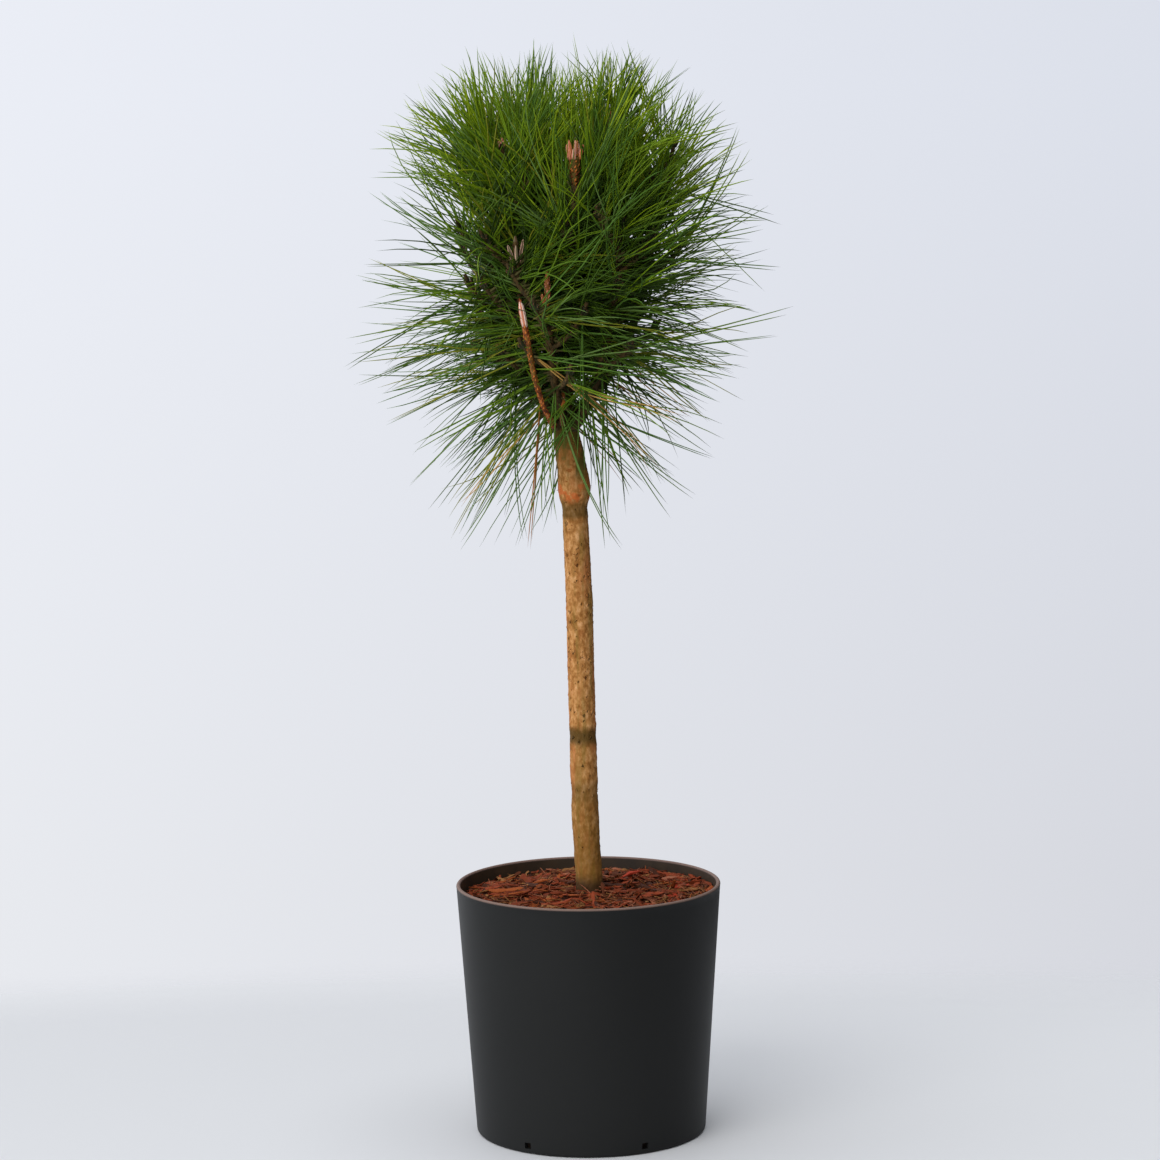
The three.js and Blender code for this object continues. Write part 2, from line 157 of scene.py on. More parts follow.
# The crown's rounded outline: its middle by height, its reach, and how square it is above and below
CROWN_MIDDLE = np.array([(430, -28), (515, -24), (565, -23), (600, -9), (690, -9), (740, -19), (790, -16)])
CROWN_Z = 600.0
CROWN_RADIUS = 150.0
CROWN_RISE = 183.0
CROWN_DROP = 202.0
SQUARE_ABOVE = 2.7
SQUARE_BELOW = 1.7

# How steeply a needle rises by the height of its root, and how it is shaped
RISE_BY_HEIGHT = np.array([
    (500, -68), (522, -52), (545, -26), (565, -12), (595, 4),
    (630, 20), (665, 38), (695, 55), (720, 64),
])
NEEDLE_FORWARD = 0.2
NEEDLE_OUTWARD = 0.22
NEEDLE_OUTWARD_ON_TOP = 0.5
OUTWARD_FROM = 48
STEEPER_IN_THE_MIDDLE = 20.0
STEEPER_AT_THE_END = 14
STEEPEST = 87
RISE_SPREADS = (26, 44)
TURN_SPREAD = 0.25
NEEDLE_LENGTH = 116.0
NEEDLE_SPREAD = 14.0
NEEDLE_LEAST = 84.0
NEEDLE_LEAST_ON_TOP = 54.0
NEEDLE_SAG = 0.34
NEEDLE_TRIES = 7
NEEDLE_WIDE = 0.66
NEEDLE_THICK = 0.44
NEEDLE_SHARES = np.array([0, 0.1, 0.24, 0.4, 0.56, 0.72, 0.87, 1.0])
NEEDLE_PROFILE = np.array([0.72, 1.0, 1.0, 0.93, 0.82, 0.68, 0.5, 0.0])
PAIR_OPENING = (0.6, 4.5)
SHEATH_LENGTHS = (5.0, 8.0)
SHEATH_SHARES = np.array([0.0, 0.35, 0.8, 1.15])
SHEATH_PROFILE = np.array([0.95, 1.05, 0.8, 0.0])
PAIRS_ON_SHOOT = 98
PAIRS_ON_TOP_SHOOT = 225
PAIRS_ON_TWIG = 16
PAIRS_ON_LEADER = 42
OFF_SHOOT = 2.6
OFF_TWIG = 1.5

# How raggedly needles reach the outline, how many pass it, and the room that they keep
RAGGED = 0.36
RAGGED_ON_TOP = 0.22
LONG_SHARE = 0.05
LONG_REACH = 1.07
LONG_BELOW = 660
SHORTENINGS = 28
ROOM_SHARES = np.array([0.14, 0.26, 0.38, 0.5, 0.62, 0.75, 0.88, 1.0])
STEM_ROOM = 1.5

# Shorter and darker needles that fill the crown's inside
INNER_LENGTH = 80.0
INNER_LEAST = 44.0
INNER_REACH = 0.57
INNER_ON_SHOOT = 62
INNER_ON_TWIG = 12

# Where the crown's parts change into one another: heights, and then places or distances sideways
LEAN_BAND = (650, 710)
RAGGED_BAND = (650, 720)
SHORT_BAND = (640, 700)
MIDDLE_BAND = (585, 630)
LOW_LEFT_BAND = (560, 640)
THIN_BAND = (480, 575)
DENSE_BAND = (670, 710)
MIDDLE_HALF = (14, 58)
LEFT_SIDE = (-60, 0)
OPEN_SIDES = (-70, 40)
OPEN_OUT = (62, 115)

# Needles lean towards shared places, so that sky shows between the tufts, and few of them hang low
TUFT_SEED = 23
TUFT_SCALE = 0.03
TUFT_PULL = 0.6
LUMP_SCALE = 0.017
LUMP_DEPTH = 0.07
LOW_SHARES = np.array([(-95, 0.5), (-60, 0.42), (-28, 0.2), (15, 0.24), (60, 0.34)])
LOW_LEFT_EXTRA = 13.0
OPEN_SHARE_LEFT = 0.35
OPEN_SHARE_RIGHT = 0.58

# The bare twig in front of the crown
BARE_TWIG = [(-20, -16, 511), (-27, -34, 526), (-33, -48, 548), (-37, -54, 572), (-42, -57, 602)]

# Where the photograph shows a bud or a shoot through the needles: its place, and how far round it is clear
SHOWN_THROUGH = [
    ((-2, -38, 708), 7.5), ((-3, -38, 698), 7.5), ((-4, -38, 686), 6.5), ((21, 4, 733), 5.5),
    ((-54, -10, 710), 5.5), ((-43, -32, 645), 5.5), ((-43, -32, 633), 5.5), ((-24, -56, 616), 5.5),
    ((-24, -55, 604), 5.5), ((-42, -57, 604), 6.0), ((-40, -56, 594), 6.5), ((-38, -55, 584), 6.5),
    ((-37, -54, 574), 6.0), ((-35, -51, 563), 5.5), ((-34, -49, 552), 5.0), ((-31, -44, 541), 4.5),
    ((-28, -37, 530), 4.5), ((-24, -27, 519), 4.0), ((-14, -22, 533), 4.0),
    *[((-7, -9, z), 5.0) for z in (478, 469, 460, 451, 442, 433)],
]
SHOWN_SHARE = 0.95

# Needles that stand out of the crown: where each ends, sideways and up, and its heading there in degrees
OUTLYING = [
    (-143, 719, 150), (-133, 704, 150), (-146, 687, 180), (-149, 677, 145), (-129, 643, 160),
    (-153, 626, 180), (-159, 619, 165), (-151, 597, 175), (-155, 586, 175), (-165, 575, -170),
    (-168, 554, -150), (-162, 541, -160), (-145, 529, -160), (-137, 517, -155), (-119, 495, -150),
    (-123, 470, -135), (-110, 453, -130), (-95, 430, -120), (-88, 423, -125), (-43, 428, -80),
    (-38, 423, -95), (1, 478, -90), (6, 466, -90), (10, 472, -80), (14, 443, -90), (15, 422, -85),
    (27, 422, -55), (30, 447, -85), (62, 444, -55), (79, 455, -35), (94, 487, -20), (115, 527, -30),
    (111, 543, -15), (118, 562, -25), (138, 573, 5), (150, 594, 15), (130, 603, -45), (141, 621, -5),
    (133, 634, 15), (142, 650, -20), (134, 664, 30), (118, 672, 15), (121, 704, 60), (112, 720, 70),
    (111, 722, 15), (103, 731, 25), (88, 746, 60), (80, 762, 35), (70, 767, 60), (52, 771, 45),
    (-3, 787, 100), (6, 778, 115), (22, 778, 75), (-12, 773, 135), (-40, 774, 85), (-59, 772, 105),
    (-70, 775, 110), (-96, 756, 140), (-112, 754, 110), (-117, 732, 130),
]
OUTLYING_PLACES = 24

# The needles' greens, from the brightest on top, painted sunlight, to the dark ones inside, painted shade,
# and the dry ones
GREENS = {
    "needle_sunlit": (142, 162, 22),
    "needle_bright": (120, 144, 18),
    "needle_fresh": (104, 132, 20),
    "needle_olive": (124, 128, 32),
    "needle_mid": (90, 118, 18),
    "needle_blue": (96, 124, 60),
    "needle_leaf": (76, 104, 18),
    "needle_cool": (76, 110, 38),
    "needle_deep": (60, 86, 16),
    "needle_dark": (42, 62, 12),
}
DRY_TINTS = {"needle_tan": (192, 150, 80), "needle_rust": (170, 112, 56)}
SPRAY_SCALE = 0.032
RUST_SHARE = 0.35

# The colours of the mulch, and of the shoots and buds
MULCH_TINTS = {
    "mulch_red": (128, 54, 26),
    "mulch_rust": (106, 44, 18),
    "mulch_brown": (86, 42, 20),
    "mulch_dark": (62, 30, 15),
    "mulch_tan": (134, 90, 50),
    "mulch_pink": (146, 88, 62),
    "mulch_orange": (138, 68, 28),
    "mulch_bright": (160, 54, 32),
}
BUD_TINTS = {
    "shoot_brown": (54, 54, 18),
    "shoot_dark": (34, 38, 12),
    "twig_orange": (204, 116, 46),
    "twig_brown": (122, 54, 16),
    "bud_orange": (184, 108, 44),
    "bud_amber": (140, 84, 36),
    "bud_pink": (222, 142, 112),
    "bud_rose": (240, 192, 170),
    "bud_brown": (104, 68, 40),
    "bud_grey": (128, 118, 88),
    "bud_white": (244, 218, 204),
    "bud_moss": (98, 78, 24),
}

# The buds: how wide one is along its length, and where its rings lie
BUD_PROFILE = np.array([
    (0, 0.7), (0.1, 0.9), (0.28, 1.0), (0.6, 0.95), (0.78, 0.78), (0.9, 0.52), (0.96, 0.3), (1.0, 0.0),
])
BUD_SHARES = np.array([0, 0.1, 0.22, 0.36, 0.5, 0.64, 0.76, 0.87, 0.95, 1.0])
BUD_RIBS = 9

# The faces of one scale, whose corners scale_blades makes
BLADE_FACES = np.array([
    [0, 1, 2], [0, 2, 4], [4, 2, 3], [1, 0, 5], [2, 1, 5], [3, 2, 5], [4, 3, 5], [0, 4, 5],
])

# Half the floor's width and depth
FLOOR_HALF = (1450, 570)


def bud_look(*names):
    """The numbers of these bud colours: the first for a bud's core, the others for its scales or ribs."""
    return [list(BUD_TINTS).index(name) for name in names]


PINK = bud_look("bud_orange", "bud_orange", "bud_pink")
ROSE = bud_look("bud_pink", "bud_pink", "bud_rose")
CANDLES = bud_look("bud_pink", "bud_orange", "bud_pink", "bud_rose")
GREY = bud_look("bud_grey", "bud_brown", "bud_grey", "bud_grey", "bud_rose")
BROWN = bud_look("shoot_dark", "shoot_brown", "bud_brown")
STREAKED = bud_look("bud_pink", "bud_brown", "bud_white", "bud_pink", "bud_rose")
RUDDY = bud_look("bud_amber", "twig_brown", "bud_pink")
PALE = bud_look("bud_pink", "bud_rose", "bud_white", "bud_grey")

# The buds of some shoots: their colours, how many small ones, length, radius and the small ones' share
BUD_OF_SHOOT = {
    "upper_right": (RUDDY, 3, 16.0, 2.4, 0.8),
    "upper_left": (ROSE, 2, 7.5, 1.4, 0.7),
    "front_left": (GREY, 3, 21.0, 1.9, 0.9),
    "front": (RUDDY, 1, 25.0, 2.3, 0.35),
}


def mix(a, b, t):
    return a + (b - a) * t


def smooth(low, high, value):
    """A step without corners, from 0 at low to 1 at high."""
    t = np.clip((value - low) / (high - low), 0, 1)
    return t * t * (3 - 2 * t)


def near(*axes):
    """1 at a spot and less away from it. Each axis gives values, the spot's own value and a distance."""
    return np.exp(-sum(((values - spot) / far) ** 2 for values, spot, far in axes))


def unit(vectors):
    return vectors / np.maximum(np.linalg.norm(vectors, axis=-1, keepdims=True), 1e-9)


def facing(turn, rise=0.0):
    """Unit vectors at a turn round the upright axis and a rise above the level, in radians."""
    return np.stack([np.cos(turn) * np.cos(rise), np.sin(turn) * np.cos(rise), np.sin(rise) + 0 * turn], -1)


def even_turns(count, shift=0):
    return 2 * np.pi * (np.arange(count) + shift) / count


def square_to(along, hint):
    """Two unit vectors square to a direction and to each other."""
    first = unit(np.cross(along, hint))
    return first, np.cross(along, first)


def turned(first, second, turn):
    """The directions at these turns from a first vector to a second."""
    return first * np.cos(turn)[..., None] + second * np.sin(turn)[..., None]


def noise_at(places, scale=1.0):
    values = [noise.noise(Vector(place) * scale) for place in places.reshape(-1, 3)]
    return np.array(values).reshape(places.shape[:-1])


def noise_round(turns, heights, wide, long, shift=0.0):
    """Noise on a round surface, by height and turn, with its scale round it and along it."""
    across, deep = np.cos(turns) * wide + shift, np.sin(turns) * wide
    return noise_at(np.stack(np.broadcast_arrays(across, deep, (heights * long)[:, None]), -1))


def srgb(red, green, blue):
    """A colour named in screen values, as the linear one that a shader takes."""
    shares = [value / 255 for value in (red, green, blue)]
    linear = [s / 12.92 if s <= 0.04045 else ((s + 0.055) / 1.055) ** 2.4 for s in shares]
    return (*linear, 1.0)


class Nodes:
    """A node tree, with short ways to add what a finish or the studio needs."""

    def __init__(self, tree):
        self.nodes = tree.nodes
        self.links = tree.links

    def fill(self, node, inputs, output=0):
        """Sets or links a node's inputs, by name or number, and returns one of its outputs."""
        for key, value in inputs.items():
            if isinstance(value, bpy.types.NodeSocket):
                self.links.new(value, node.inputs[key])
            else:
                node.inputs[key].default_value = value
        return node.outputs[output]

    def add(self, kind, inputs, output=0):
        return self.fill(self.nodes.new(kind), inputs, output)

    def place(self, scale=(1, 1, 1)):
        coordinates = self.add("ShaderNodeTexCoord", {}, "Object")
        return self.add("ShaderNodeMapping", {"Scale": scale, "Vector": coordinates}, "Vector")

    def along(self, axis, vector):
        return self.add("ShaderNodeSeparateXYZ", {"Vector": vector}, axis)

    def noise(self, scale, detail=4.0, stretch=(1, 1, 1), rough=0.55):
        inputs = {"Scale": scale, "Detail": detail, "Roughness": rough, "Vector": self.place(stretch)}
        return self.add("ShaderNodeTexNoise", inputs, "Fac")

    def ramp(self, factor, stops):
        """A ramp of colours named in screen values."""
        node = self.nodes.new("ShaderNodeValToRGB")
        elements = node.color_ramp.elements
        while len(elements) < len(stops):
            elements.new(0.5)
        for element, (position, tint) in zip(elements, stops):
            element.position = position
            element.color = srgb(*tint)
        return self.fill(node, {"Fac": factor}, "Color")

    def spread(self, factor, low, high, to_low=0.0, to_high=1.0, way="SMOOTHSTEP"):
        node = self.nodes.new("ShaderNodeMapRange")
        node.interpolation_type = way
        inputs = {"Value": factor, "From Min": low, "From Max": high, "To Min": to_low, "To Max": to_high}
        return self.fill(node, inputs, "Result")

    def maths(self, operation, first, second):
        node = self.nodes.new("ShaderNodeMath")
        node.operation = operation
        return self.fill(node, {0: first, 1: second}, "Value")

    def times(self, first, second):
        return self.maths("MULTIPLY", first, second)

    def blend(self, factor, first, second):
        """Two colours mixed by a factor, each a node's output or named in screen values.
        A colour mix takes them as its inputs 6 and 7, and gives its result as output 2."""
        node = self.nodes.new("ShaderNodeMix")
        node.data_type = "RGBA"
        first, second = [srgb(*side) if isinstance(side, tuple) else side for side in (first, second)]
        return self.fill(node, {0: factor, 6: first, 7: second}, 2)


class Finish(Nodes):
    """A material of one colour, named in screen values, which noise and ramps can vary."""

    def __init__(self, name, tint, roughness, specular):
        self.material = bpy.data.materials.new(name)
        self.material.use_nodes = True
        super().__init__(self.material.node_tree)
        self.shader = self.nodes["Principled BSDF"]
        self.set({"Base Color": srgb(*tint), "Roughness": roughness, "Specular IOR Level": specular})
        self.material.diffuse_color = srgb(*tint)

    def set(self, inputs):
        self.fill(self.shader, inputs)

    def height(self):
        return self.along("Z", self.place())

    def bump(self, height, distance, strength):
        inputs = {"Strength": strength, "Distance": distance, "Height": height}
        self.set({"Normal": self.add("ShaderNodeBump", inputs, "Normal")})


def finishes_of(tints, roughness, specular):
    return [Finish(name, tint, roughness, specular) for name, tint in tints.items()]


def make_object(name, places, parts, finishes, soften=True):
    """A mesh object from corners in millimetres and arrays of faces, each with its finish's number."""
    mesh = bpy.data.meshes.new(name)
    mesh.vertices.add(len(places))
    mesh.vertices.foreach_set("co", (np.asarray(places) * MM).astype(np.float32).ravel())
    corners = np.concatenate([faces.ravel() for faces, _ in parts]).astype(np.int32)
    sizes = np.concatenate([np.full(len(faces), faces.shape[1]) for faces, _ in parts])
    kinds = np.concatenate([np.broadcast_to(kind, len(faces)) for faces, kind in parts])
    starts = np.concatenate([[0], np.cumsum(sizes)[:-1]]).astype(np.int32)
    mesh.loops.add(len(corners))
    mesh.loops.foreach_set("vertex_index", corners)
    mesh.polygons.add(len(sizes))
    mesh.polygons.foreach_set("loop_start", starts)
    for finish in finishes:
        mesh.materials.append(finish.material)
    mesh.polygons.foreach_set("material_index", kinds.astype(np.int32))
    mesh.polygons.foreach_set("use_smooth", np.full(len(sizes), soften))
    mesh.update(calc_edges=True)
    mesh.validate()
    made = bpy.data.objects.new(name, mesh)
    bpy.context.scene.collection.objects.link(made)
    return made


def add_piece(name, places, parts, finishes, replaces=(), soften=True):
    piece = make_object(name, places, parts, finishes, soften)
    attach(piece, "root")
    if replaces:
        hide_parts(*replaces)
    return piece


def grid_faces(rows, columns):
    """Faces of a grid of corners, rows by columns, whose columns close round."""
    row, column = np.meshgrid(np.arange(rows - 1), np.arange(columns), indexing="ij")
    low, high = row * columns, (row + 1) * columns
    after = (column + 1) % columns
    return np.stack([low + column, low + after, high + after, high + column], -1).reshape(-1, 4)


def end_fans(rows, columns):
    """Fans that close such a grid's first and last rows on the two corners that follow the grid's."""
    now = np.arange(columns)
    after = (now + 1) % columns
    count = rows * columns
    last = count - columns
    first_fan = np.stack([after, now, np.full(columns, count)], -1)
    return first_fan, np.stack([last + now, last + after, np.full(columns, count + 1)], -1)


def level_rings(turns, radii, heights, middles=0.0):
    """The corners of a grid of level rings, with their radii, heights and sideways places."""
    places = np.broadcast_arrays(middles + radii * np.cos(turns), radii * np.sin(turns), heights)
    return np.stack(places, -1).reshape(-1, 3)


def tubes(lines, radii, sides, across, flat, kinds):
    """Closed tapering tubes along many lines at once: lines is many x stations x 3, radii many x stations.
    Each tube is wide along across, and flat times as thick. Its last station is a point.
    Returns the corners and, as parts for a mesh, the faces with one finish number for each tube."""
    many, stations, _ = lines.shape
    along = unit(np.gradient(lines, axis=1))
    wide = unit(across[:, None, :] - along * np.sum(along * across[:, None, :], -1, keepdims=True))
    thick = np.cross(along, wide)
    rings = turned(wide[:, :-1, None, :], flat * thick[:, :-1, None, :], even_turns(sides, 0.5))
    rings = lines[:, :-1, None, :] + radii[:, :-1, None, None] * rings
    places = np.concatenate([rings.reshape(many, -1, 3), lines[:, -1:, :]], 1)
    each = places.shape[1]
    offsets = (np.arange(many) * each)[:, None, None]
    now = np.arange(sides)
    last = (stations - 2) * sides
    tips = np.stack([last + now, last + (now + 1) % sides, np.full(sides, each - 1)], -1)
    feet = np.stack([np.zeros(sides - 2, int), now[2:], now[1:-1]], -1)
    parts = []
    for faces in (grid_faces(stations - 1, sides), tips, feet):
        parts.append(((faces[None] + offsets).reshape(-1, faces.shape[1]), np.repeat(kinds, len(faces))))
    return places.reshape(-1, 3), parts


class Heap:
    """Collects small meshes that are joined into one piece."""

    def __init__(self):
        self.places = []
        self.parts = []
        self.count = 0

    def add(self, places, parts):
        self.parts += [(faces + self.count, kinds) for faces, kinds in parts]
        self.places.append(places)
        self.count += len(places)

    def piece(self, name, finishes, slot, replaces=()):
        return add_piece(name, np.concatenate(self.places), self.parts, finishes, replaces)


def even_line(points, count):
    """Points at even distances along a line of points."""
    points = np.asarray(points, float)
    gone = np.concatenate([[0], np.cumsum(np.linalg.norm(np.diff(points, axis=0), axis=1))])
    wanted = np.linspace(0, gone[-1], count)
    return np.stack([np.interp(wanted, gone, points[:, axis]) for axis in range(3)], -1)


def curve(start, turn, end, share):
    return (1 - share) ** 2 * start + 2 * share * (1 - share) * turn + share**2 * end


def curved_line(start, turn, end, count):
    """Points at even distances along a curve that sets out towards turn and arrives from it."""
    return even_line(curve(start, turn, end, np.linspace(0, 1, CURVE_STEPS)[:, None]), count)


def at_share(line, share):
    place = np.clip(np.asarray(share), 0, 1) * (len(line) - 1)
    low = np.minimum(place.astype(int), len(line) - 2)
    rest = (place - low)[..., None]
    return line[low] * (1 - rest) + line[low + 1] * rest


def length_of(line):
    return np.linalg.norm(np.diff(line, axis=0), axis=1).sum()


def stem_x(z):
    return np.interp(z, STEM[:, 0], STEM[:, 1])


def stem_radius(z):
    return np.interp(z, STEM[:, 0], STEM[:, 2])


def crown_middle(z):
    return np.interp(z, CROWN_MIDDLE[:, 0], CROWN_MIDDLE[:, 1])


def crown_share(places):
    """How far out a place is: 1 on the crown's outline, less inside it."""
    out = np.hypot(places[..., 0] - crown_middle(places[..., 2]), places[..., 1]) / CROWN_RADIUS
    up = places[..., 2] - CROWN_Z
    power = np.where(up > 0, SQUARE_ABOVE, SQUARE_BELOW)
    high = np.abs(up) / np.where(up > 0, CROWN_RISE, CROWN_DROP)
    return (out**power + high**power) ** (1 / power)


def least_distance(places, line):
    """The distance from each place to the nearest point of a line."""
    shape = places.shape[:-1]
    flat = places.reshape(-1, 3)
    squares = (flat**2).sum(1)[:, None] + (line**2).sum(1)[None] - 2 * flat @ line.T
    return np.sqrt(np.maximum(squares.min(1), 0)).reshape(shape)


def shoot_line(fork, tip):
    start = np.array([stem_x(fork), 0.0, fork])
    end = np.array(tip, float)
    turn = start + (end - start) * np.array([LEAVE_SIDEWAYS, LEAVE_SIDEWAYS, LEAVE_UPWARDS])
    return curved_line(start, turn, end, SHOOT_POINTS)


def side_twigs(line, number, others, random):
    """Short twigs on a shoot, turned round it by the golden angle, which end well inside the crown."""
    made = []
    for k, share in enumerate(TWIG_SHARES):
        start = at_share(line, share)
        along = unit(at_share(line, share + 0.02) - start)
        first, second = square_to(along, UP + 0.01)
        best, best_room = None, TWIG_ROOM
        for attempt in range(TWIG_TRIES):
            turn = (number * 3 + k + attempt * 0.31) * GOLDEN_TURN
            out = first * math.cos(turn) + second * math.sin(turn)
            reach = random.uniform(*TWIG_LENGTHS)
            middle = start + (out * 0.75 + along * 0.35) * reach * 0.55
            end = start + (out * 0.66 + along * 0.45 + UP * 0.35) * reach
            twig = curved_line(start, middle, end, TWIG_POINTS)
            room = min(least_distance(twig[TWIG_FREE_FROM:], other).min() for other in others)
            if crown_share(end) <= TWIG_REACH and room > best_room:
                best, best_room = twig, room
        if best is not None:
            made.append(best)
            others = [*others, best]
    return made


def tuft_pull(ends):
    """A smooth push on each needle's end that gathers neighbours together."""
    pulls = [noise.noise_vector(Vector(end) * TUFT_SCALE) for end in ends.reshape(-1, 3)]
    return np.array(pulls).reshape(ends.shape)


def hides_what_shows(places, random):
    """Whether a needle passes in front of a bud or shoot that the photograph shows through the crown."""
    hides = np.zeros(places.shape[:2], bool)
    between = (places[..., 1:, :] + places[..., :-1, :]) / 2
    places = np.concatenate([places, between], -2)
    for spot, clear in SHOWN_THROUGH:
        spot = np.array(spot, float)
        sight = CAMERA_PLACE - spot
        sight = sight / np.linalg.norm(sight)
        gone = (places - spot) @ sight
        apart = np.linalg.norm(places - spot - gone[..., None] * sight, axis=-1)
        hides |= ((gone > -1) & (apart < clear)).any(-1)
    return hides & (random.random(hides.shape) < SHOWN_SHARE)


def needle_headings(roots, forward, share, numbers, random):
    """Each needle's level way out of its limb, its heading and its rise, by the source's rule."""
    height = roots[..., 2]
    degrees = np.interp(height, RISE_BY_HEIGHT[:, 0], RISE_BY_HEIGHT[:, 1])
    degrees = degrees + STEEPER_AT_THE_END * np.maximum(0, share * 2 - 1) ** 2
    aside = roots[..., 0] - crown_middle(height)
    near_middle = (1 - smooth(*MIDDLE_HALF, np.abs(aside))) * smooth(*MIDDLE_BAND, height)
    degrees = degrees + STEEPER_IN_THE_MIDDLE * near_middle
    degrees = degrees + random.uniform(-0.5, 0.5, share.shape) * mix(*RISE_SPREADS, share)
    rise = np.radians(np.minimum(degrees, STEEPEST))
    turn = numbers * GOLDEN_TURN + random.uniform(-TURN_SPREAD, TURN_SPREAD, share.shape)
    outward = np.stack([aside, roots[..., 1], np.zeros_like(aside)], -1)
    outward = outward / np.maximum(np.linalg.norm(outward, axis=-1, keepdims=True), OUTWARD_FROM)
    lean = mix(NEEDLE_OUTWARD, NEEDLE_OUTWARD_ON_TOP, smooth(*LEAN_BAND, height))
    heading = unit(facing(turn, rise) + forward * NEEDLE_FORWARD + outward * lean[..., None])
    heading = unit(heading + tuft_pull(roots + heading * NEEDLE_LENGTH) * TUFT_PULL)
    return facing(turn), heading, rise


def share_kept(end):
    """The share of needles that stay, by their ends: fewer low down and in the crown's outer part."""
    low_share = np.interp(end[:, 0], LOW_SHARES[:, 0], LOW_SHARES[:, 1])
    share = mix(low_share, 1, smooth(*THIN_BAND, end[:, 2]))
    out = np.hypot(end[:, 0] - crown_middle(end[:, 2]), end[:, 1])
    open_share = mix(OPEN_SHARE_LEFT, OPEN_SHARE_RIGHT, smooth(*OPEN_SIDES, end[:, 0]))
    return share * mix(1, open_share, smooth(*OPEN_OUT, out) * (1 - smooth(*DENSE_BAND, end[:, 2])))


def grow_pairs(line, count, first, last, thick, others, random, inner):
    """Pairs of needles along a limb by the source's rule: evenly dealt places, golden turns, a rise by
    height, and a length that keeps to the crown's outline. Returns root, heading, length and sag."""
    share = mix(first, last, (np.arange(count) + 0.5) / count)[:, None] + np.zeros((1, NEEDLE_TRIES))
    roots = at_share(line, share)
    forward = unit(at_share(line, share + 0.03) - at_share(line, share - 0.03))
    numbers = np.arange(count)[:, None] + np.arange(NEEDLE_TRIES)[None] * 0.37
    level, heading, rise = needle_headings(roots, forward, share, numbers, random)
    sag = mix(0.0, NEEDLE_SAG, random.random(share.shape) ** 1.2) * np.cos(rise)
    most, least, farthest = NEEDLE_LENGTH, NEEDLE_LEAST, 1.0
    if inner:
        most, least, farthest = INNER_LENGTH, INNER_LEAST, INNER_REACH
    height = roots[..., 2]
    ragged = mix(RAGGED, RAGGED_ON_TOP, smooth(*RAGGED_BAND, height))
    reach = farthest - ragged * random.random(share.shape) ** 1.15
    if not inner:
        reach = np.where((random.random(share.shape) < LONG_SHARE) & (height < LONG_BELOW), LONG_REACH, reach)
    reach = reach + LUMP_DEPTH * noise_at(roots + heading * most, LUMP_SCALE)
    least = mix(least, min(least, NEEDLE_LEAST_ON_TOP), smooth(*SHORT_BAND, height))
    length = most + random.uniform(-NEEDLE_SPREAD, NEEDLE_SPREAD, share.shape)
    low, left = 1 - smooth(*LOW_LEFT_BAND, height), 1 - smooth(*LEFT_SIDE, roots[..., 0])
    length = length + LOW_LEFT_EXTRA * low * left
    roots = roots + level * thick

    def end_of(now):
        return roots + heading * now[..., None] - UP * (now * sag)[..., None]

    for _ in range(SHORTENINGS):
        outside = (crown_share(end_of(length)) > reach) & (length > least)
        length = np.where(outside, length - 2, length)
    ends = end_of(length)
    fine = crown_share(ends) <= reach
    walked = ROOM_SHARES[:, None] * length[..., None, None]
    places = roots[..., None, :] + heading[..., None, :] * walked
    places = places - UP * (ROOM_SHARES**2 * (length * sag)[..., None])[..., None]
    for other, room in others:
        fine &= (least_distance(places[..., 1:, :], other) > room).all(-1)
    x, y, z = places[..., 0], places[..., 1], places[..., 2]
    off_stem = np.hypot(x - stem_x(z), y) - stem_radius(z) > STEM_ROOM
    fine &= (off_stem | (z > STEM[-1, 0] + 1)).all(-1)
    fine &= ~hides_what_shows(places, random)
    chosen = np.argmax(fine, 1)
    kept = share_kept(ends[np.arange(count), chosen])
    kept = fine.any(1) & (random.random(count) < kept)
    picked = (np.arange(count)[kept], chosen[kept])
    return roots[picked], heading[picked], length[picked], sag[picked]


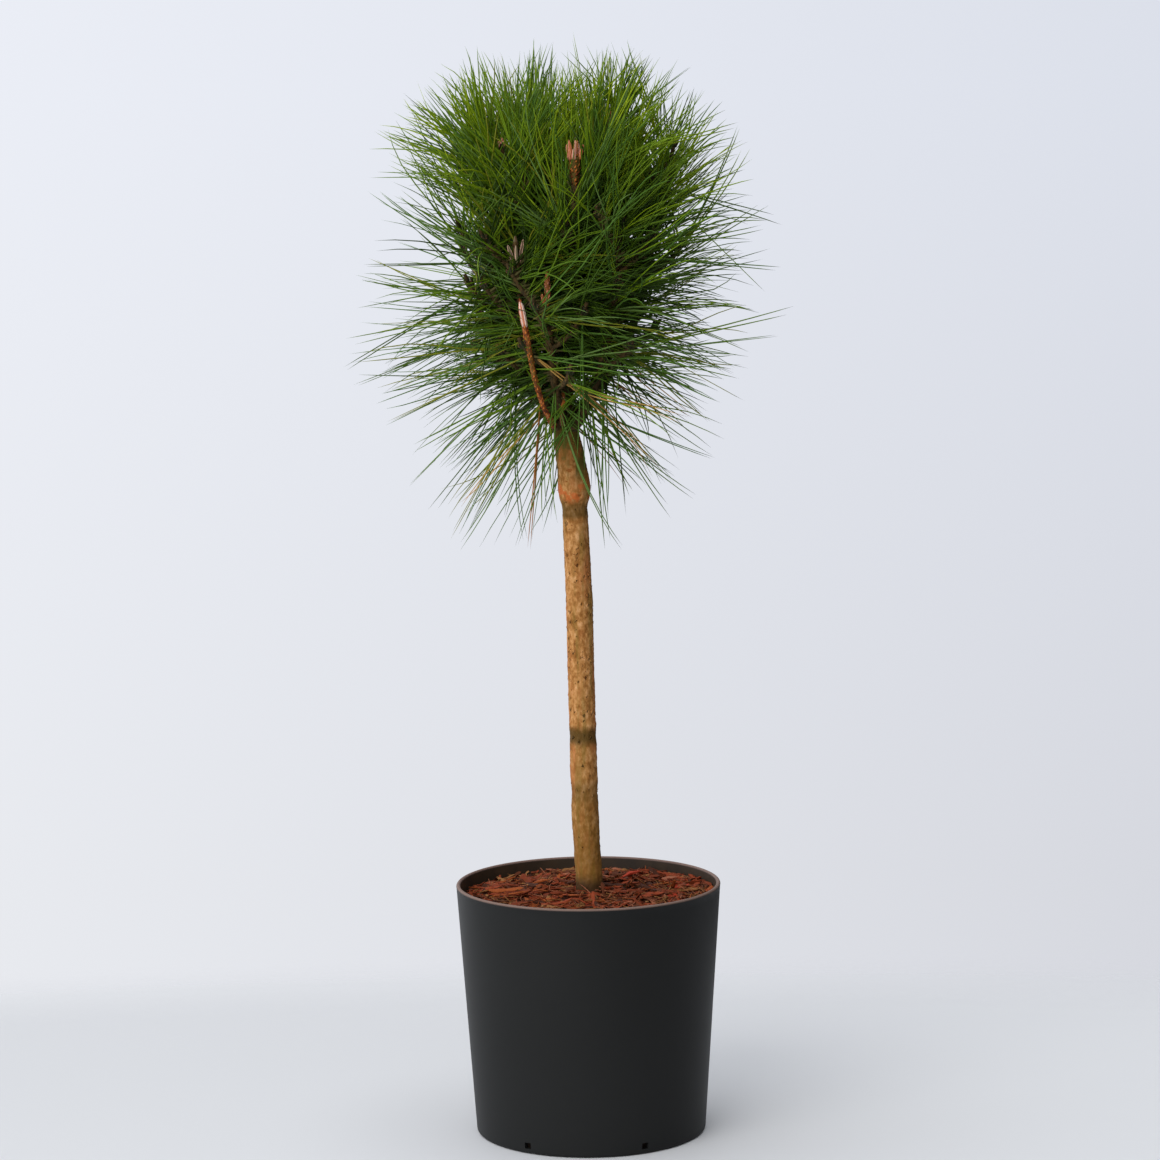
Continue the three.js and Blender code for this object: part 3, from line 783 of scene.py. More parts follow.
def deal_greens(roots, ends, random):
    """One green for each pair of needles, by its place in the crown and alike within a spray. Brighter greens
    on top and at the outline are painted light; darker greens inside the crown are painted shade.
    """
    count = len(roots)
    middle = (roots + ends) / 2
    weights = np.zeros((count, len(GREENS)))
    # Painted sunlight: needles high in the crown and at its outline get brighter greens
    high = smooth(620, 740, middle[:, 2])
    low = 1 - smooth(500, 600, middle[:, 2])
    left = 1 - smooth(-80, 20, middle[:, 0])
    # Painted shade: needles inside the crown get darker greens
    inside = 1 - smooth(0.42, 0.74, crown_share(middle))
    inside = inside * (1 - 0.45 * smooth(45, 95, np.abs(middle[:, 0] + 14))) * (1 - 0.6 * high)
    outer = smooth(0.6, 0.85, crown_share(middle)) * (1 - high)
    warm = (smooth(560, 670, middle[:, 2]) + 0.5 * outer * low) * (1 - 0.45 * left * (1 - high))

    def give(name, share):
        weights[:, list(GREENS).index(name)] = share

    give("needle_sunlit", (0.02 + 0.12 * high) * (1 - 0.9 * inside) * warm)
    give("needle_bright", (0.08 + 0.2 * high + 0.14 * outer) * (1 - 0.8 * inside) * warm)
    give("needle_fresh", (0.17 + 0.20 * high + 0.24 * outer) * (1 - 0.6 * inside) * (0.3 + 0.7 * warm))
    give("needle_olive", 0.06 + 0.08 * low)
    give("needle_mid", 0.22)
    give("needle_blue", (0.06 + 0.22 * outer + 0.2 * (1 - warm)) * (1 - 0.8 * inside))
    give("needle_leaf", 0.24 - 0.08 * high)
    give("needle_cool", (0.12 + 0.32 * (1 - warm)) * (1 - 0.6 * inside))
    give("needle_deep", 0.20 - 0.10 * high - 0.15 * outer * (1 - high) + 0.3 * inside)
    give("needle_dark", 0.03 * (1 - outer) + 0.5 * inside)
    totals = np.cumsum(weights / weights.sum(1, keepdims=True), 1)
    order = np.argsort(1.1 * noise_at(middle, SPRAY_SCALE) + random.uniform(-0.4, 0.4, count))
    pick = np.empty(count)
    pick[order] = (np.arange(count) + 0.5) / count
    kinds = (pick[:, None] > totals).sum(1)
    right = near((ends[:, 0], 56, 32), (ends[:, 2], 512, 28), (ends[:, 1], -30, 80))
    beside = near((ends[:, 0], -40, 16), (ends[:, 2], 450, 34), (ends[:, 1], -20, 60))
    dry = random.random(count) < 0.006 * low + 0.6 * right + 0.5 * beside
    return np.where(dry, len(GREENS) + (random.random(count) < RUST_SHARE), kinds)


def needle_lines(roots, heading, length, sag, random):
    """Two curved needles from each root, spread in a narrow V, as lines of points."""
    count = len(roots)
    aside = unit(np.cross(heading, random.normal(size=(count, 3))))
    share = NEEDLE_SHARES[None, :, None]
    lines = []
    for way in (-1, 1):
        opening = np.radians(random.uniform(*PAIR_OPENING, (count, 1)))
        toward = unit(heading + aside * way * np.tan(opening))
        own = length * random.uniform(0.93, 1.0, count)
        sideways = unit(np.cross(toward, random.normal(size=(count, 3))))

        def swing(usual, most):
            return (np.clip(random.normal(0, usual, count), -most, most) * own)[:, None, None]

        bow = swing(0.13, 0.24)
        curl = swing(0.05, 0.1)
        wave = swing(0.018, 1.0)
        start = roots + aside * way * 0.25
        line = start[:, None] + toward[:, None] * own[:, None, None] * share
        line = line - UP * (own * sag)[:, None, None] * share**2
        line = line + sideways[:, None] * bow * (share**2 - share * 0.35)
        line = line + aside[:, None] * (curl * share**3 + wave * np.sin(2 * np.pi * share))
        lines.append(line)
    return np.concatenate(lines), np.concatenate([aside, aside])


def add_pairs(heap, sheaths, roots, heading, length, lines, across, random):
    """Meshes for pairs of needles whose first and second needles follow one another in lines."""
    greens = deal_greens(roots, roots + heading * length[:, None], random)
    sizes = random.uniform(0.88, 1.12, (len(lines), 1)) * NEEDLE_WIDE
    sizes = sizes * (1 + 0.1 * smooth(*SHORT_BAND, lines[:, :1, 2]))
    flat = NEEDLE_THICK / NEEDLE_WIDE
    heap.add(*tubes(lines, NEEDLE_PROFILE[None] * sizes, 4, across, flat, np.concatenate([greens, greens])))
    count = len(roots)
    spans = random.uniform(*SHEATH_LENGTHS, count)[:, None, None] * SHEATH_SHARES[None, :, None]
    starts = roots - heading * 0.6
    sheath_lines = starts[:, None] + heading[:, None] * spans
    sheath_sizes = SHEATH_PROFILE[None] * np.ones((count, 1))
    sheaths.add(*tubes(sheath_lines, sheath_sizes, 5, across[:count], 1.0, np.zeros(count, int)))


def add_needles(heap, sheaths, line, count, first, last, thick, others, random, inner=False):
    roots, heading, length, sag = grow_pairs(line, count, first, last, thick, others, random, inner)
    if len(roots) == 0:
        return
    lines, across = needle_lines(roots, heading, length, sag, random)
    add_pairs(heap, sheaths, roots, heading, length, lines, across, random)


def deal_outlying(limbs):
    """Gives each outlying needle to the limb and place that it can best have grown from.
    Returns, for each limb's name, pairs of a root and the row of the needle that grows there."""
    names = [name for name, _ in limbs for _ in range(OUTLYING_PLACES)]
    shares = np.linspace(0.22, 0.92, OUTLYING_PLACES)
    roots = np.concatenate([at_share(line, shares) for _, line in limbs])
    crowded = np.zeros(len(roots))
    dealt = {name: [] for name in names}
    for row in OUTLYING:
        across, up = row[0] - roots[:, 0], row[1] - roots[:, 2]
        length = np.sqrt(across**2 + up**2 + (0.4 * roots[:, 1]) ** 2)
        bent = np.abs((np.degrees(np.arctan2(up, across)) - row[2] + 180) % 360 - 180)
        misfit = bent / 16 + np.maximum(0, length - 122) / 5 + np.maximum(0, 92 - length) / 12
        best = np.argmin(misfit + crowded + np.maximum(0, roots[:, 1]) / 60)
        crowded += 0.8 * (np.linalg.norm(roots - roots[best], axis=1) < 4)
        dealt[names[best]].append((roots[best], row))
    return dealt


def add_outlying(heap, sheaths, dealt, random):
    """The outlying needles of one limb, each with its partner, curved to the heading that it ends with."""
    if not dealt:
        return
    headings, lengths, firsts, seconds, across = [], [], [], [], []
    for root, (x, z, degrees) in dealt:
        end = np.array([x, root[1] * 0.6 + random.uniform(-4, 4), z])
        length = np.linalg.norm(end - root)
        angle = math.radians(degrees)
        way = unit(np.array([math.cos(angle), (end[1] - root[1]) / length, math.sin(angle)]))
        turn = end - way * length * 0.45
        heading = unit(turn - root)
        aside = unit(np.cross(heading, random.normal(size=3)))
        for group, shift in ((firsts, 0.0), (seconds, random.uniform(2.5, 7.0))):
            last = end + aside * shift - way * shift * random.uniform(0.2, 1.6)
            group.append(curve(root, turn + aside * shift * 0.4, last, NEEDLE_SHARES[:, None]))
        headings.append(heading)
        lengths.append(length)
        across.append(aside)
    roots = np.array([root for root, _ in dealt])
    lines, across = np.array(firsts + seconds), np.array(across + across)
    add_pairs(heap, sheaths, roots, np.array(headings), np.array(lengths), lines, across, random)


def limb_surface(line, radii, around, lumps, seed, kind=0):
    """A limb's skin: rings round a line with relief, closed by a point at each end."""
    along = unit(np.gradient(line, axis=0))
    side, third = square_to(along, np.array([0.31, 0.87, 0.38]))
    turn = even_turns(around)
    grain = noise_round(turn, np.arange(len(line)), 2.2, 0.55, seed)
    sizes = radii[:, None] * (1 + lumps * grain)
    skin = line[:, None] + turned(side[:, None], third[:, None], turn) * sizes[..., None]
    places = np.concatenate([skin.reshape(-1, 3), line[:1], line[-1:] + along[-1:] * radii[-1] * 0.5])
    faces = (grid_faces(len(line), around), *end_fans(len(line), around))
    return places, [(group, kind) for group in faces]


def scale_blades(places, normals, along, sizes, lift, kinds):
    """Small pointed scales that lie on a surface with their tips lifted off it."""
    side = unit(np.cross(along, normals)) * (sizes * 0.42)[:, None]
    long = along * sizes[:, None]
    lifted = normals * lift[:, None]
    root = places - long * 0.35 - normals * 0.25
    waist = lifted * 0.45 + long * 0.15
    corners = [
        root - side, root + side, places + side * 0.8 + waist,
        places + long * 0.75 + lifted, places - side * 0.8 + waist, root - normals * 0.2 + long * 0.2,
    ]
    blades = np.stack(corners, 1).reshape(-1, 3)
    offsets = (np.arange(len(places)) * len(corners))[:, None, None]
    return blades, [((BLADE_FACES[None] + offsets).reshape(-1, 3), np.repeat(kinds, len(BLADE_FACES)))]


def clothe_shoot(heap, line, radii, spacing, random, kind, size=2.6, lifted=0.9):
    """Dry scales in a spiral along a shoot."""
    count = int(length_of(line) / spacing)
    share = (np.arange(count) + 0.5) / count
    along = unit(at_share(line, share + 0.01) - at_share(line, share - 0.01))
    side, third = square_to(along, UP + 0.02)
    normals = turned(side, third, np.arange(count) * GOLDEN_TURN + random.uniform(-0.3, 0.3, count))
    thick = np.interp(share, np.linspace(0, 1, len(radii)), radii)
    places = at_share(line, share) + normals * thick[:, None]
    sizes = size * random.uniform(0.7, 1.25, count)
    lift = random.uniform(0.28, 1.0, count) * lifted
    kinds = np.where(random.random(count) < 0.35, kind + 1, kind)
    heap.add(*scale_blades(places, normals, along, sizes, lift, kinds))


def bud_width(share):
    return np.interp(share, BUD_PROFILE[:, 0], BUD_PROFILE[:, 1])


def add_bud(heap, base, along, length, radius, look, random):
    """A bud: a spindle, paler at its tip, with pointed scales or, where it is pale all over, fine ribs."""
    along = unit(along)
    line = base + along * length * BUD_SHARES[:, None]
    radii = bud_width(BUD_SHARES) * radius * 0.92
    across, third = square_to(along, np.array([0.3, 0.5, 0.81]))
    heap.add(*tubes(line[None], radii[None], 10, across[None], 1.0, np.array([look[0]])))
    if look[0] in PALE:
        out = turned(across, third, even_turns(BUD_RIBS, random.uniform(-0.2, 0.2, BUD_RIBS)))
        lines = line[None] + out[:, None] * (radii * 0.86)[None, :, None]
        thick = np.tile(radii * 0.26 + 0.06, (BUD_RIBS, 1))
        heap.add(*tubes(lines, thick, 5, out, 1.0, random.choice(look[1:], BUD_RIBS)))
        return
    count = max(10, int(length * radius * 0.55))
    place = ((np.arange(count) + 0.5) / count) * 0.9
    normals = turned(across, third, np.arange(count) * GOLDEN_TURN)
    thick = bud_width(place) * radius
    places = base + along * (length * place)[:, None] + normals * (thick * 0.95)[:, None]
    lean = unit(along * np.ones((count, 1)) - normals * (0.5 * place**2)[:, None])
    sizes = np.clip(radius * mix(1.15, 0.8, place), 1.4, 6)
    lift = random.uniform(0.1, 0.4, count)
    kinds = np.where(place + random.uniform(-0.18, 0.18, count) < 0.42, look[1], look[2])
    heap.add(*scale_blades(places, normals, lean, sizes, lift, kinds))


def ring_of_buds(heap, base, along, length, radius, count, apart, look, random):
    first, second = square_to(along, np.array([0.2, 0.9, 0.3]))
    for k in range(count):
        turn = 2 * math.pi * k / count + random.uniform(-0.3, 0.3)
        out = first * math.cos(turn) + second * math.sin(turn)
        size = random.uniform(0.68, 1.08)
        way = along + out * random.uniform(0.08, 0.3)
        add_bud(heap, base + out * apart, way, length * size, radius, look, random)


def add_bud_group(heap, line, length, radius, small, share, look, random):
    """A main bud on a shoot's end with smaller ones crowded round it, each share of its length."""
    along = unit(line[-1] - line[-4])
    base = line[-1] - along * length
    add_bud(heap, base, along, length, radius, look, random)
    foot, apart = base + along * length * 0.04, radius * 0.9
    ring_of_buds(heap, foot, along, length * share, radius * 0.74, small, apart, look, random)


def add_bud_cluster(heap, line, random):
    """The large cluster: a stout new shoot with a crown of short pale candles side by side."""
    along = unit(line[-1] - line[-4])
    foot = line[-1] + along * 5 - along * 31
    spine = foot + along * 21 * np.linspace(0, 1, 22)[:, None]
    radii = np.interp(np.linspace(0, 1, 22), [0, 0.2, 0.7, 0.92, 1], [2.0, 2.8, 3.8, 4.3, 3.0])
    moss, orange, brown = bud_look("bud_moss", "bud_orange", "twig_brown")
    heap.add(*limb_surface(spine, radii, 16, 0.2, 2.0, moss))
    clothe_shoot(heap, spine[9:], radii[9:], 0.5, random, orange, 2.8, 1.2)
    clothe_shoot(heap, spine[:12], radii[:12], 0.5, random, brown, 2.6, 1.3)
    top = foot + along * 18
    ring_of_buds(heap, top, along, 10.5, 1.35, 7, 3.9, CANDLES, random)
    ring_of_buds(heap, top, along, 13.0, 1.3, 3, 1.7, CANDLES, random)


def make_limbs():
    """The shoots' lines by name, the twigs and leaders on each, and the leaders alone."""
    main = {name: shoot_line(*row) for name, row in SHOOTS.items()}
    twigs = {}
    for number, (name, line) in enumerate(main.items()):
        others = [other for label, other in main.items() if label != name]
        others += [twig for group in twigs.values() for twig in group]
        twigs[name] = side_twigs(line, number, others, np.random.default_rng(60 + number))
    leaders = {}
    for name, (start, turn, end) in LEADERS.items():
        start = at_share(main[name], start) if isinstance(start, float) else np.array(start, float)
        leaders[name] = curved_line(start, np.array(turn, float), np.array(end, float), LEADER_POINTS)
        twigs[name].append(leaders[name])
    return main, twigs, leaders


def grow_needles(heap, sheaths, name, line, twigs, leader, lines, random):
    """The needles of one shoot and its twigs, clear of the other limbs."""
    length = length_of(line)
    reach = (stem_radius(SHOOTS[name][0]) + BOUGH_REACH) / length
    others = [(other[4:], 2.2) for other in lines] + [(line[: int(reach * SHOOT_POINTS)], 3.6)]
    count = PAIRS_ON_TOP_SHOOT if name.startswith("upper") else PAIRS_ON_SHOOT
    add_needles(heap, sheaths, line, count, reach * 0.75, 1 - 16 / length, OFF_SHOOT, others, random)
    add_needles(heap, sheaths, line, INNER_ON_SHOOT, reach * 0.7, 0.9, OFF_SHOOT, others, random, True)
    for twig in twigs:
        nearby = [(other[4:], 2.0) for other in lines if other is not twig] + [(line, OFF_SHOOT)]
        many = PAIRS_ON_LEADER if twig is leader else PAIRS_ON_TWIG
        add_needles(heap, sheaths, twig, many, 0.25, 0.82, OFF_TWIG, nearby, random)
        add_needles(heap, sheaths, twig, INNER_ON_TWIG, 0.2, 0.7, OFF_TWIG, nearby, random, True)


def grow_wood(heap, number, line, twigs, random):
    """The skin and the dry scales of one shoot and its twigs."""
    spine = even_line(line, int(length_of(line) / 1.6))[3:-3]
    share = np.linspace(0, 1, len(spine))
    radii = np.interp(share, [0, 0.16, 0.85, 1], [BOUGH_BASE_RADIUS, BOUGH_TIP_RADIUS, 2.3, 1.9])
    heap.add(*limb_surface(spine, radii, 14, 0.16, number * 3.7))
    clothe_shoot(heap, spine, radii, 1.05, random, 0)
    for twig in twigs:
        fine, thin = even_line(twig, 22), np.linspace(1.8, 1.3, 22)
        heap.add(*limb_surface(fine, thin, 8, 0.14, number * 1.3))
        clothe_shoot(heap, fine, thin, 1.1, random, 0, 1.9)


def grow_buds(heap, number, name, line, twigs, random):
    """The buds at the ends of one shoot and its twigs."""
    usual = (GREY if number % 2 else BROWN, 4, 18.0, 3.0, 0.75)
    look, small, long, thick, share = BUD_OF_SHOOT.get(name, usual)
    if name == "front":
        line = np.concatenate([line, line[-1:] + [[0, 0, 5], [0, 0, 10]]])
    if name == "front_middle":
        add_bud_cluster(heap, line, random)
    else:
        add_bud_group(heap, line, long, thick, small, share, look, random)
    for twig in twigs:
        add_bud_group(heap, twig, random.uniform(8, 12), 1.7, 2, 0.7, BROWN, random)


def make_bare_twig(buds, bare, wood):
    """The bare twig in front of the crown, with its bud, and a short spur with another beside it."""
    random = np.random.default_rng(7)
    spine = even_line(bare, 50)
    radii = np.interp(np.linspace(0, 1, 50), [0, 0.2, 0.5, 0.75, 0.85, 1], [2.5, 1.6, 1.75, 2.1, 1.9, 0.7])
    heap = Heap()
    heap.add(*limb_surface(spine, radii, 12, 0.2, 5.0))
    clothe_shoot(heap, spine, radii, 0.5, random, 1, 2.1, 0.35)
    spur = even_line([(-14, -13, 512), (-14.5, -19, 519), (-14, -22, 527)], 12)
    heap.add(*limb_surface(spur, np.linspace(1.9, 1.5, 12), 8, 0.15, 3.0))
    heap.piece("twig_in_front", [make_twig_finish(), wood[2], wood[3]], "shoot_bark")
    add_bud_group(buds, bare, 20.0, 2.3, 0, 0.6, STREAKED, random)
    add_bud_group(buds, even_line([(-14, -22, 525), (-13.5, -23, 536)], 8), 11.0, 2.3, 0, 0.6, PINK, random)


def make_crown():
    """The shoots, twigs, needles and buds, shoot by shoot."""
    noise.seed_set(TUFT_SEED)
    greens = finishes_of(GREENS, 0.5, 0.14) + finishes_of(DRY_TINTS, 0.6, 0.2)
    sheath = Finish("needle_sheath", (78, 74, 38), 0.8, 0.2)
    wood = finishes_of(BUD_TINTS, 0.72, 0.3)
    bark = make_shoot_finish()
    main, twigs, leaders = make_limbs()
    bare = even_line(BARE_TWIG, 24)
    limbs = [*main.items(), *[(name, twig) for name, group in twigs.items() for twig in group]]
    outlying = deal_outlying(limbs)
    sheaths, buds = Heap(), Heap()
    for number, (name, line) in enumerate(main.items()):
        random = np.random.default_rng(100 + number)
        others = [other for label, other in main.items() if label != name]
        others += [twig for group in twigs.values() for twig in group] + [bare]
        needles, skins = Heap(), Heap()
        grow_needles(needles, sheaths, name, line, twigs[name], leaders.get(name), others, random)
        add_outlying(needles, sheaths, outlying[name], random)
        needles.piece("needles_" + name, greens, "needles", ("foliage_" + name,))
        grow_wood(skins, number, line, twigs[name], random)
        skins.piece("shoot_" + name, [bark, wood[0], wood[1]], "shoot_bark", ("bough_" + name,))
        grow_buds(buds, number, name, line, twigs[name], random)
    make_bare_twig(buds, bare, wood)
    sheaths.piece("needle_sheaths", [sheath], "shoot_bark")
    buds.piece("buds", wood, "shoot_bark")


def make_pot(finishes):
    """The pot as one smooth turned shell, with real openings for its drain holes."""
    lip = WALL / 2

    def outer(z):
        return mix(BASE_RADIUS, RIM_RADIUS, z / POT_HEIGHT)

    def arc(x, z, radius, first, steps):
        angles = [math.radians(first + ARC_STEP * step) for step in range(steps)]
        return [(x + radius * math.cos(angle), z + radius * math.sin(angle)) for angle in angles]

    profile = [(70.0, 0.6), (72.0, 0.55), (73.0, 0.1), (74.0, 0.0)]
    profile += arc(outer(FOOT_ROUND) - FOOT_ROUND, FOOT_ROUND, FOOT_ROUND, -90, 7)
    hole_row = len(profile)
    profile += [(outer(z), z) for z in (DRAIN_FROM, DRAIN_TO, *WALL_HEIGHTS, POT_HEIGHT - lip - 0.4)]
    profile += arc(RIM_RADIUS - lip, POT_HEIGHT - lip, lip, 0, 13)
    inside_row = len(profile) - 1
    profile += [(outer(z) - WALL, z) for z in reversed(WALL_HEIGHTS)]
    inner_row = len(profile)
    profile += [(outer(z) - WALL, z) for z in (DRAIN_TO, DRAIN_FROM)]
    profile += [(outer(FLOOR) - WALL - 0.2, FLOOR), (60.0, FLOOR)]
    profile = np.array(profile)
    half = math.asin(DRAIN_WIDE / 2 / BASE_RADIUS)
    gap = 2 * math.pi / DRAIN_HOLES - 2 * half
    turns = []
    for k in range(DRAIN_HOLES):
        centre = math.radians(DRAIN_FIRST_TURN - 90 + 360 / DRAIN_HOLES * k)
        turns += [centre - half + half * 2 * i / HOLE_STEPS for i in range(HOLE_STEPS)]
        turns += [centre + half + gap * i / GAP_STEPS for i in range(GAP_STEPS)]
    columns = len(turns)
    is_hole = np.arange(columns) % (HOLE_STEPS + GAP_STEPS) < HOLE_STEPS
    places = level_rings(np.array(turns), profile[:, :1], profile[:, 1:])
    places = np.concatenate([places, [[0, 0, 0.6], [0, 0, FLOOR]]])
    faces = grid_faces(len(profile), columns)
    row, column = faces[:, 0] // columns, faces[:, 0] % columns
    closed = ~(is_hole[column] & ((row == hole_row) | (row == inner_row)))
    low_out, high_out, high_in, low_in = [
        line * columns for line in (hole_row, hole_row + 1, inner_row, inner_row + 1)
    ]
    reveal = []
    for start in range(0, columns, HOLE_STEPS + GAP_STEPS):
        end = start + HOLE_STEPS
        for now in range(start, end):
            after = now + 1
            reveal.append((low_out + now, low_out + after, low_in + after, low_in + now))
            reveal.append((high_out + after, high_out + now, high_in + now, high_in + after))
        reveal.append((high_out + start, low_out + start, low_in + start, high_in + start))
        reveal.append((low_out + end, high_out + end, high_in + end, low_in + end))
    parts = [(faces[closed], (row >= inside_row).astype(int)[closed]), (np.array(reveal), 0)]
    parts += [(fan, 0) for fan in end_fans(len(profile), columns)]
    pot = add_piece("pot_shell", places, parts, finishes, ("pot",))
    pot.data.set_sharp_from_angle(angle=math.radians(32))


def make_trunk(finishes):
    """The stem with the relief of its bark, ring scars, knots and the swelling of the graft."""
    z = np.linspace(STEM[0, 0], STEM[-1, 0], TRUNK_RINGS)
    window = np.hanning(2 * SOFTEN_STEPS + 1)
    window /= window.sum()
    ends_kept = [np.pad(values, SOFTEN_STEPS, mode="edge") for values in (stem_x(z), stem_radius(z))]
    x, radius = [np.convolve(values, window, mode="valid") for values in ends_kept]
    turn = even_turns(TRUNK_AROUND)
    swell = near((z, 468, 16))[:, None]
    relief = (0.34 + 0.55 * swell) * noise_round(turn, z, 1.1, 0.055)
    relief = relief + 0.26 * noise_round(turn, z, 3.6, 0.13) + 0.3 * noise_round(turn, z, 8.0, 0.42)
    for middle, half, depth in RING_SCARS:
        relief -= (depth * near((z, middle, half)))[:, None]
        for share, edge in ((0.8, half * 2.1), (0.7, -half * 2.1)):
            relief += (depth * share * near((z - middle, edge, half * 0.6)))[:, None]
    random = np.random.default_rng(21)
    ranges = ((190, 500), (-180, 180), (0.5, 1.1))
    small_knots = [[random.uniform(*ends) for ends in ranges] for _ in range(SMALL_KNOTS)]
    stained = np.zeros(relief.shape, bool)
    for height, degrees, size in [*KNOTS, *small_knots]:
        apart = np.angle(np.exp(1j * (turn - math.radians(degrees))))
        distance = np.hypot((z - height)[:, None] / 0.8, apart[None] * np.interp(height, z, radius)) / size
        relief += 0.5 * size * np.exp(-((distance - 1.25) ** 2) / 0.3) * 0.5
        relief -= 0.1 * size * np.exp(-(distance**2) / 0.5)
        if size > STAINED_FROM:
            stained |= distance < 0.6
    sizes = (radius[:, None] + relief) * (1 - 0.45 * smooth(604, 612, z)[:, None] ** 2)
    places = level_rings(turn, sizes, z[:, None], x[:, None])
    ends = np.array([[x[0], 0, z[0]], [x[-1], 0, z[-1] + 1.2]])
    quads = grid_faces(TRUNK_RINGS, TRUNK_AROUND)
    parts = [(quads, stained.ravel()[quads[:, 0]].astype(int))]
    parts += [(fan, 0) for fan in end_fans(TRUNK_RINGS, TRUNK_AROUND)]
    heap = Heap()
    heap.add(np.concatenate([places, ends]), parts)
    add_flakes(heap, z, x, radius, random)
    heap.piece("stem_skin", finishes, "stem_bark", ("stem",))


def add_flakes(heap, z, x, radius, random):
    """Thin flakes and short pegs of dry bark that lift off the stem's surface."""

    def on_stem(heights, turn, sunk):
        """Places on the stem or sunk below its surface, and the ways out of it."""
        normals = facing(turn)
        middle = np.stack([np.interp(heights, z, x), np.zeros_like(heights), heights], -1)
        return middle + normals * (np.interp(heights, z, radius) - sunk)[:, None], normals

    count = FLAKES
    crowded = random.random(count) < 0.5
    heights = np.where(crowded, random.uniform(300, 425, count), random.uniform(182, 500, count))
    places, normals = on_stem(heights, random.uniform(0, 2 * np.pi, count), 0.0)
    up_or_down = np.where(random.random(count) < 0.7, -1, 1)[:, None]
    lean = unit(UP * up_or_down + random.normal(0, 0.35, (count, 3)))
    lean = unit(lean - normals * (lean * normals).sum(1, keepdims=True))
    long = random.uniform(1.2, 3.4, count)
    lift = random.uniform(0.12, 0.5, count)
    kinds = np.where(random.random(count) < 0.1, 1, 0)
    heap.add(*scale_blades(places, normals, lean, long, lift, kinds))
    heights = random.uniform(300, 500, PEGS)
    roots, normals = on_stem(heights, random.uniform(0, 2 * np.pi, PEGS), 0.8)
    out = unit(normals + UP * random.uniform(-0.3, 0.9, (PEGS, 1)))
    long = random.uniform(1.4, 2.6, PEGS)
    lines = roots[:, None] + out[:, None] * long[:, None, None] * np.array([0, 0.5, 0.9, 1.0])[None, :, None]
    radii = np.array([0.6, 0.42, 0.26, 0.0])[None] * np.ones((PEGS, 1))
    heap.add(*tubes(lines, radii, 5, unit(np.cross(out, UP)), 0.7, np.ones(PEGS, int)))


def mulch_height(x, y):
    """The top of the mulch at a place: a low mound round the stem, with a hollow beside it."""
    out = np.hypot(x, y) / 88.25
    hollows = np.sin(x * 0.16 + 1) * np.cos(y * 0.19) + 0.6 * np.sin(x * 0.31 - y * 0.27)
    beside = 5.0 * near((x, HOLLOW[0], 11), (y, HOLLOW[1], 13))
    round_stem = 2.6 * near((np.hypot(x - STEM_FOOT, y), 9, 8))
    lean = 1.1 * x / 88 - 0.9 * y / 88 - 0.6
    mound = MULCH_EDGE_TOP + MULCH_CROWN * (1 - out * out) + 0.8 * hollows * (1 - out**4)
    return mound - beside + round_stem + lean


def make_mulch_bed(finish):
    """The bed under the loose bark: a ring from the stem's foot to the pot's wall."""
    turn = even_turns(BED_AROUND)
    inner = facing(turn)[:, :2] * BED_HOLE + [STEM_FOOT, 0]

    def wall(z):
        return facing(turn)[:, :2] * (mix(BASE_RADIUS, RIM_RADIUS, z / POT_HEIGHT) - WALL - 0.5)

    def grain(flat, scale, level):
        return noise_at(np.column_stack([flat * scale, np.full(BED_AROUND, level)]))

    rows = []
    for k in range(BED_STEPS + 1):
        flat = mix(inner, wall(MULCH_EDGE_TOP - 2), k / BED_STEPS)
        rough = grain(flat, 0.22, 3.1) + 0.5 * grain(flat, 0.6, 9.0)
        rows.append(np.column_stack([flat, mulch_height(flat[:, 0], flat[:, 1]) - 2.4 + 1.1 * rough]))
    for edge in (wall(MIX_TOP), inner):
        rows.append(np.column_stack([edge, np.full(BED_AROUND, MIX_TOP)]))
    last = (len(rows) - 1) * BED_AROUND
    now = np.arange(BED_AROUND)
    after = (now + 1) % BED_AROUND
    close = np.stack([last + now, last + after, after, now], -1)
    parts = [(grid_faces(len(rows), BED_AROUND), 0), (close, 0)]
    places = np.concatenate(rows)
    add_piece("mulch_bed", places, parts, [finish], ("bark_mulch",), soften=False)


def farther_end(x, y, half):
    """How far from the pot's middle a strip's farther end lies."""
    return np.maximum(np.hypot(x + half[:, 0], y + half[:, 1]), np.hypot(x - half[:, 0], y - half[:, 1]))


def scatter(count, reach, least, random):
    """Random places on the mulch, as distance and turn and as x and y, and a turn for what lies there."""
    out = reach * np.sqrt(random.uniform(least, 1.0, count))
    about = random.uniform(0, 2 * np.pi, count)
    return out, about, out * np.cos(about), out * np.sin(about), random.uniform(0, 2 * np.pi, count)


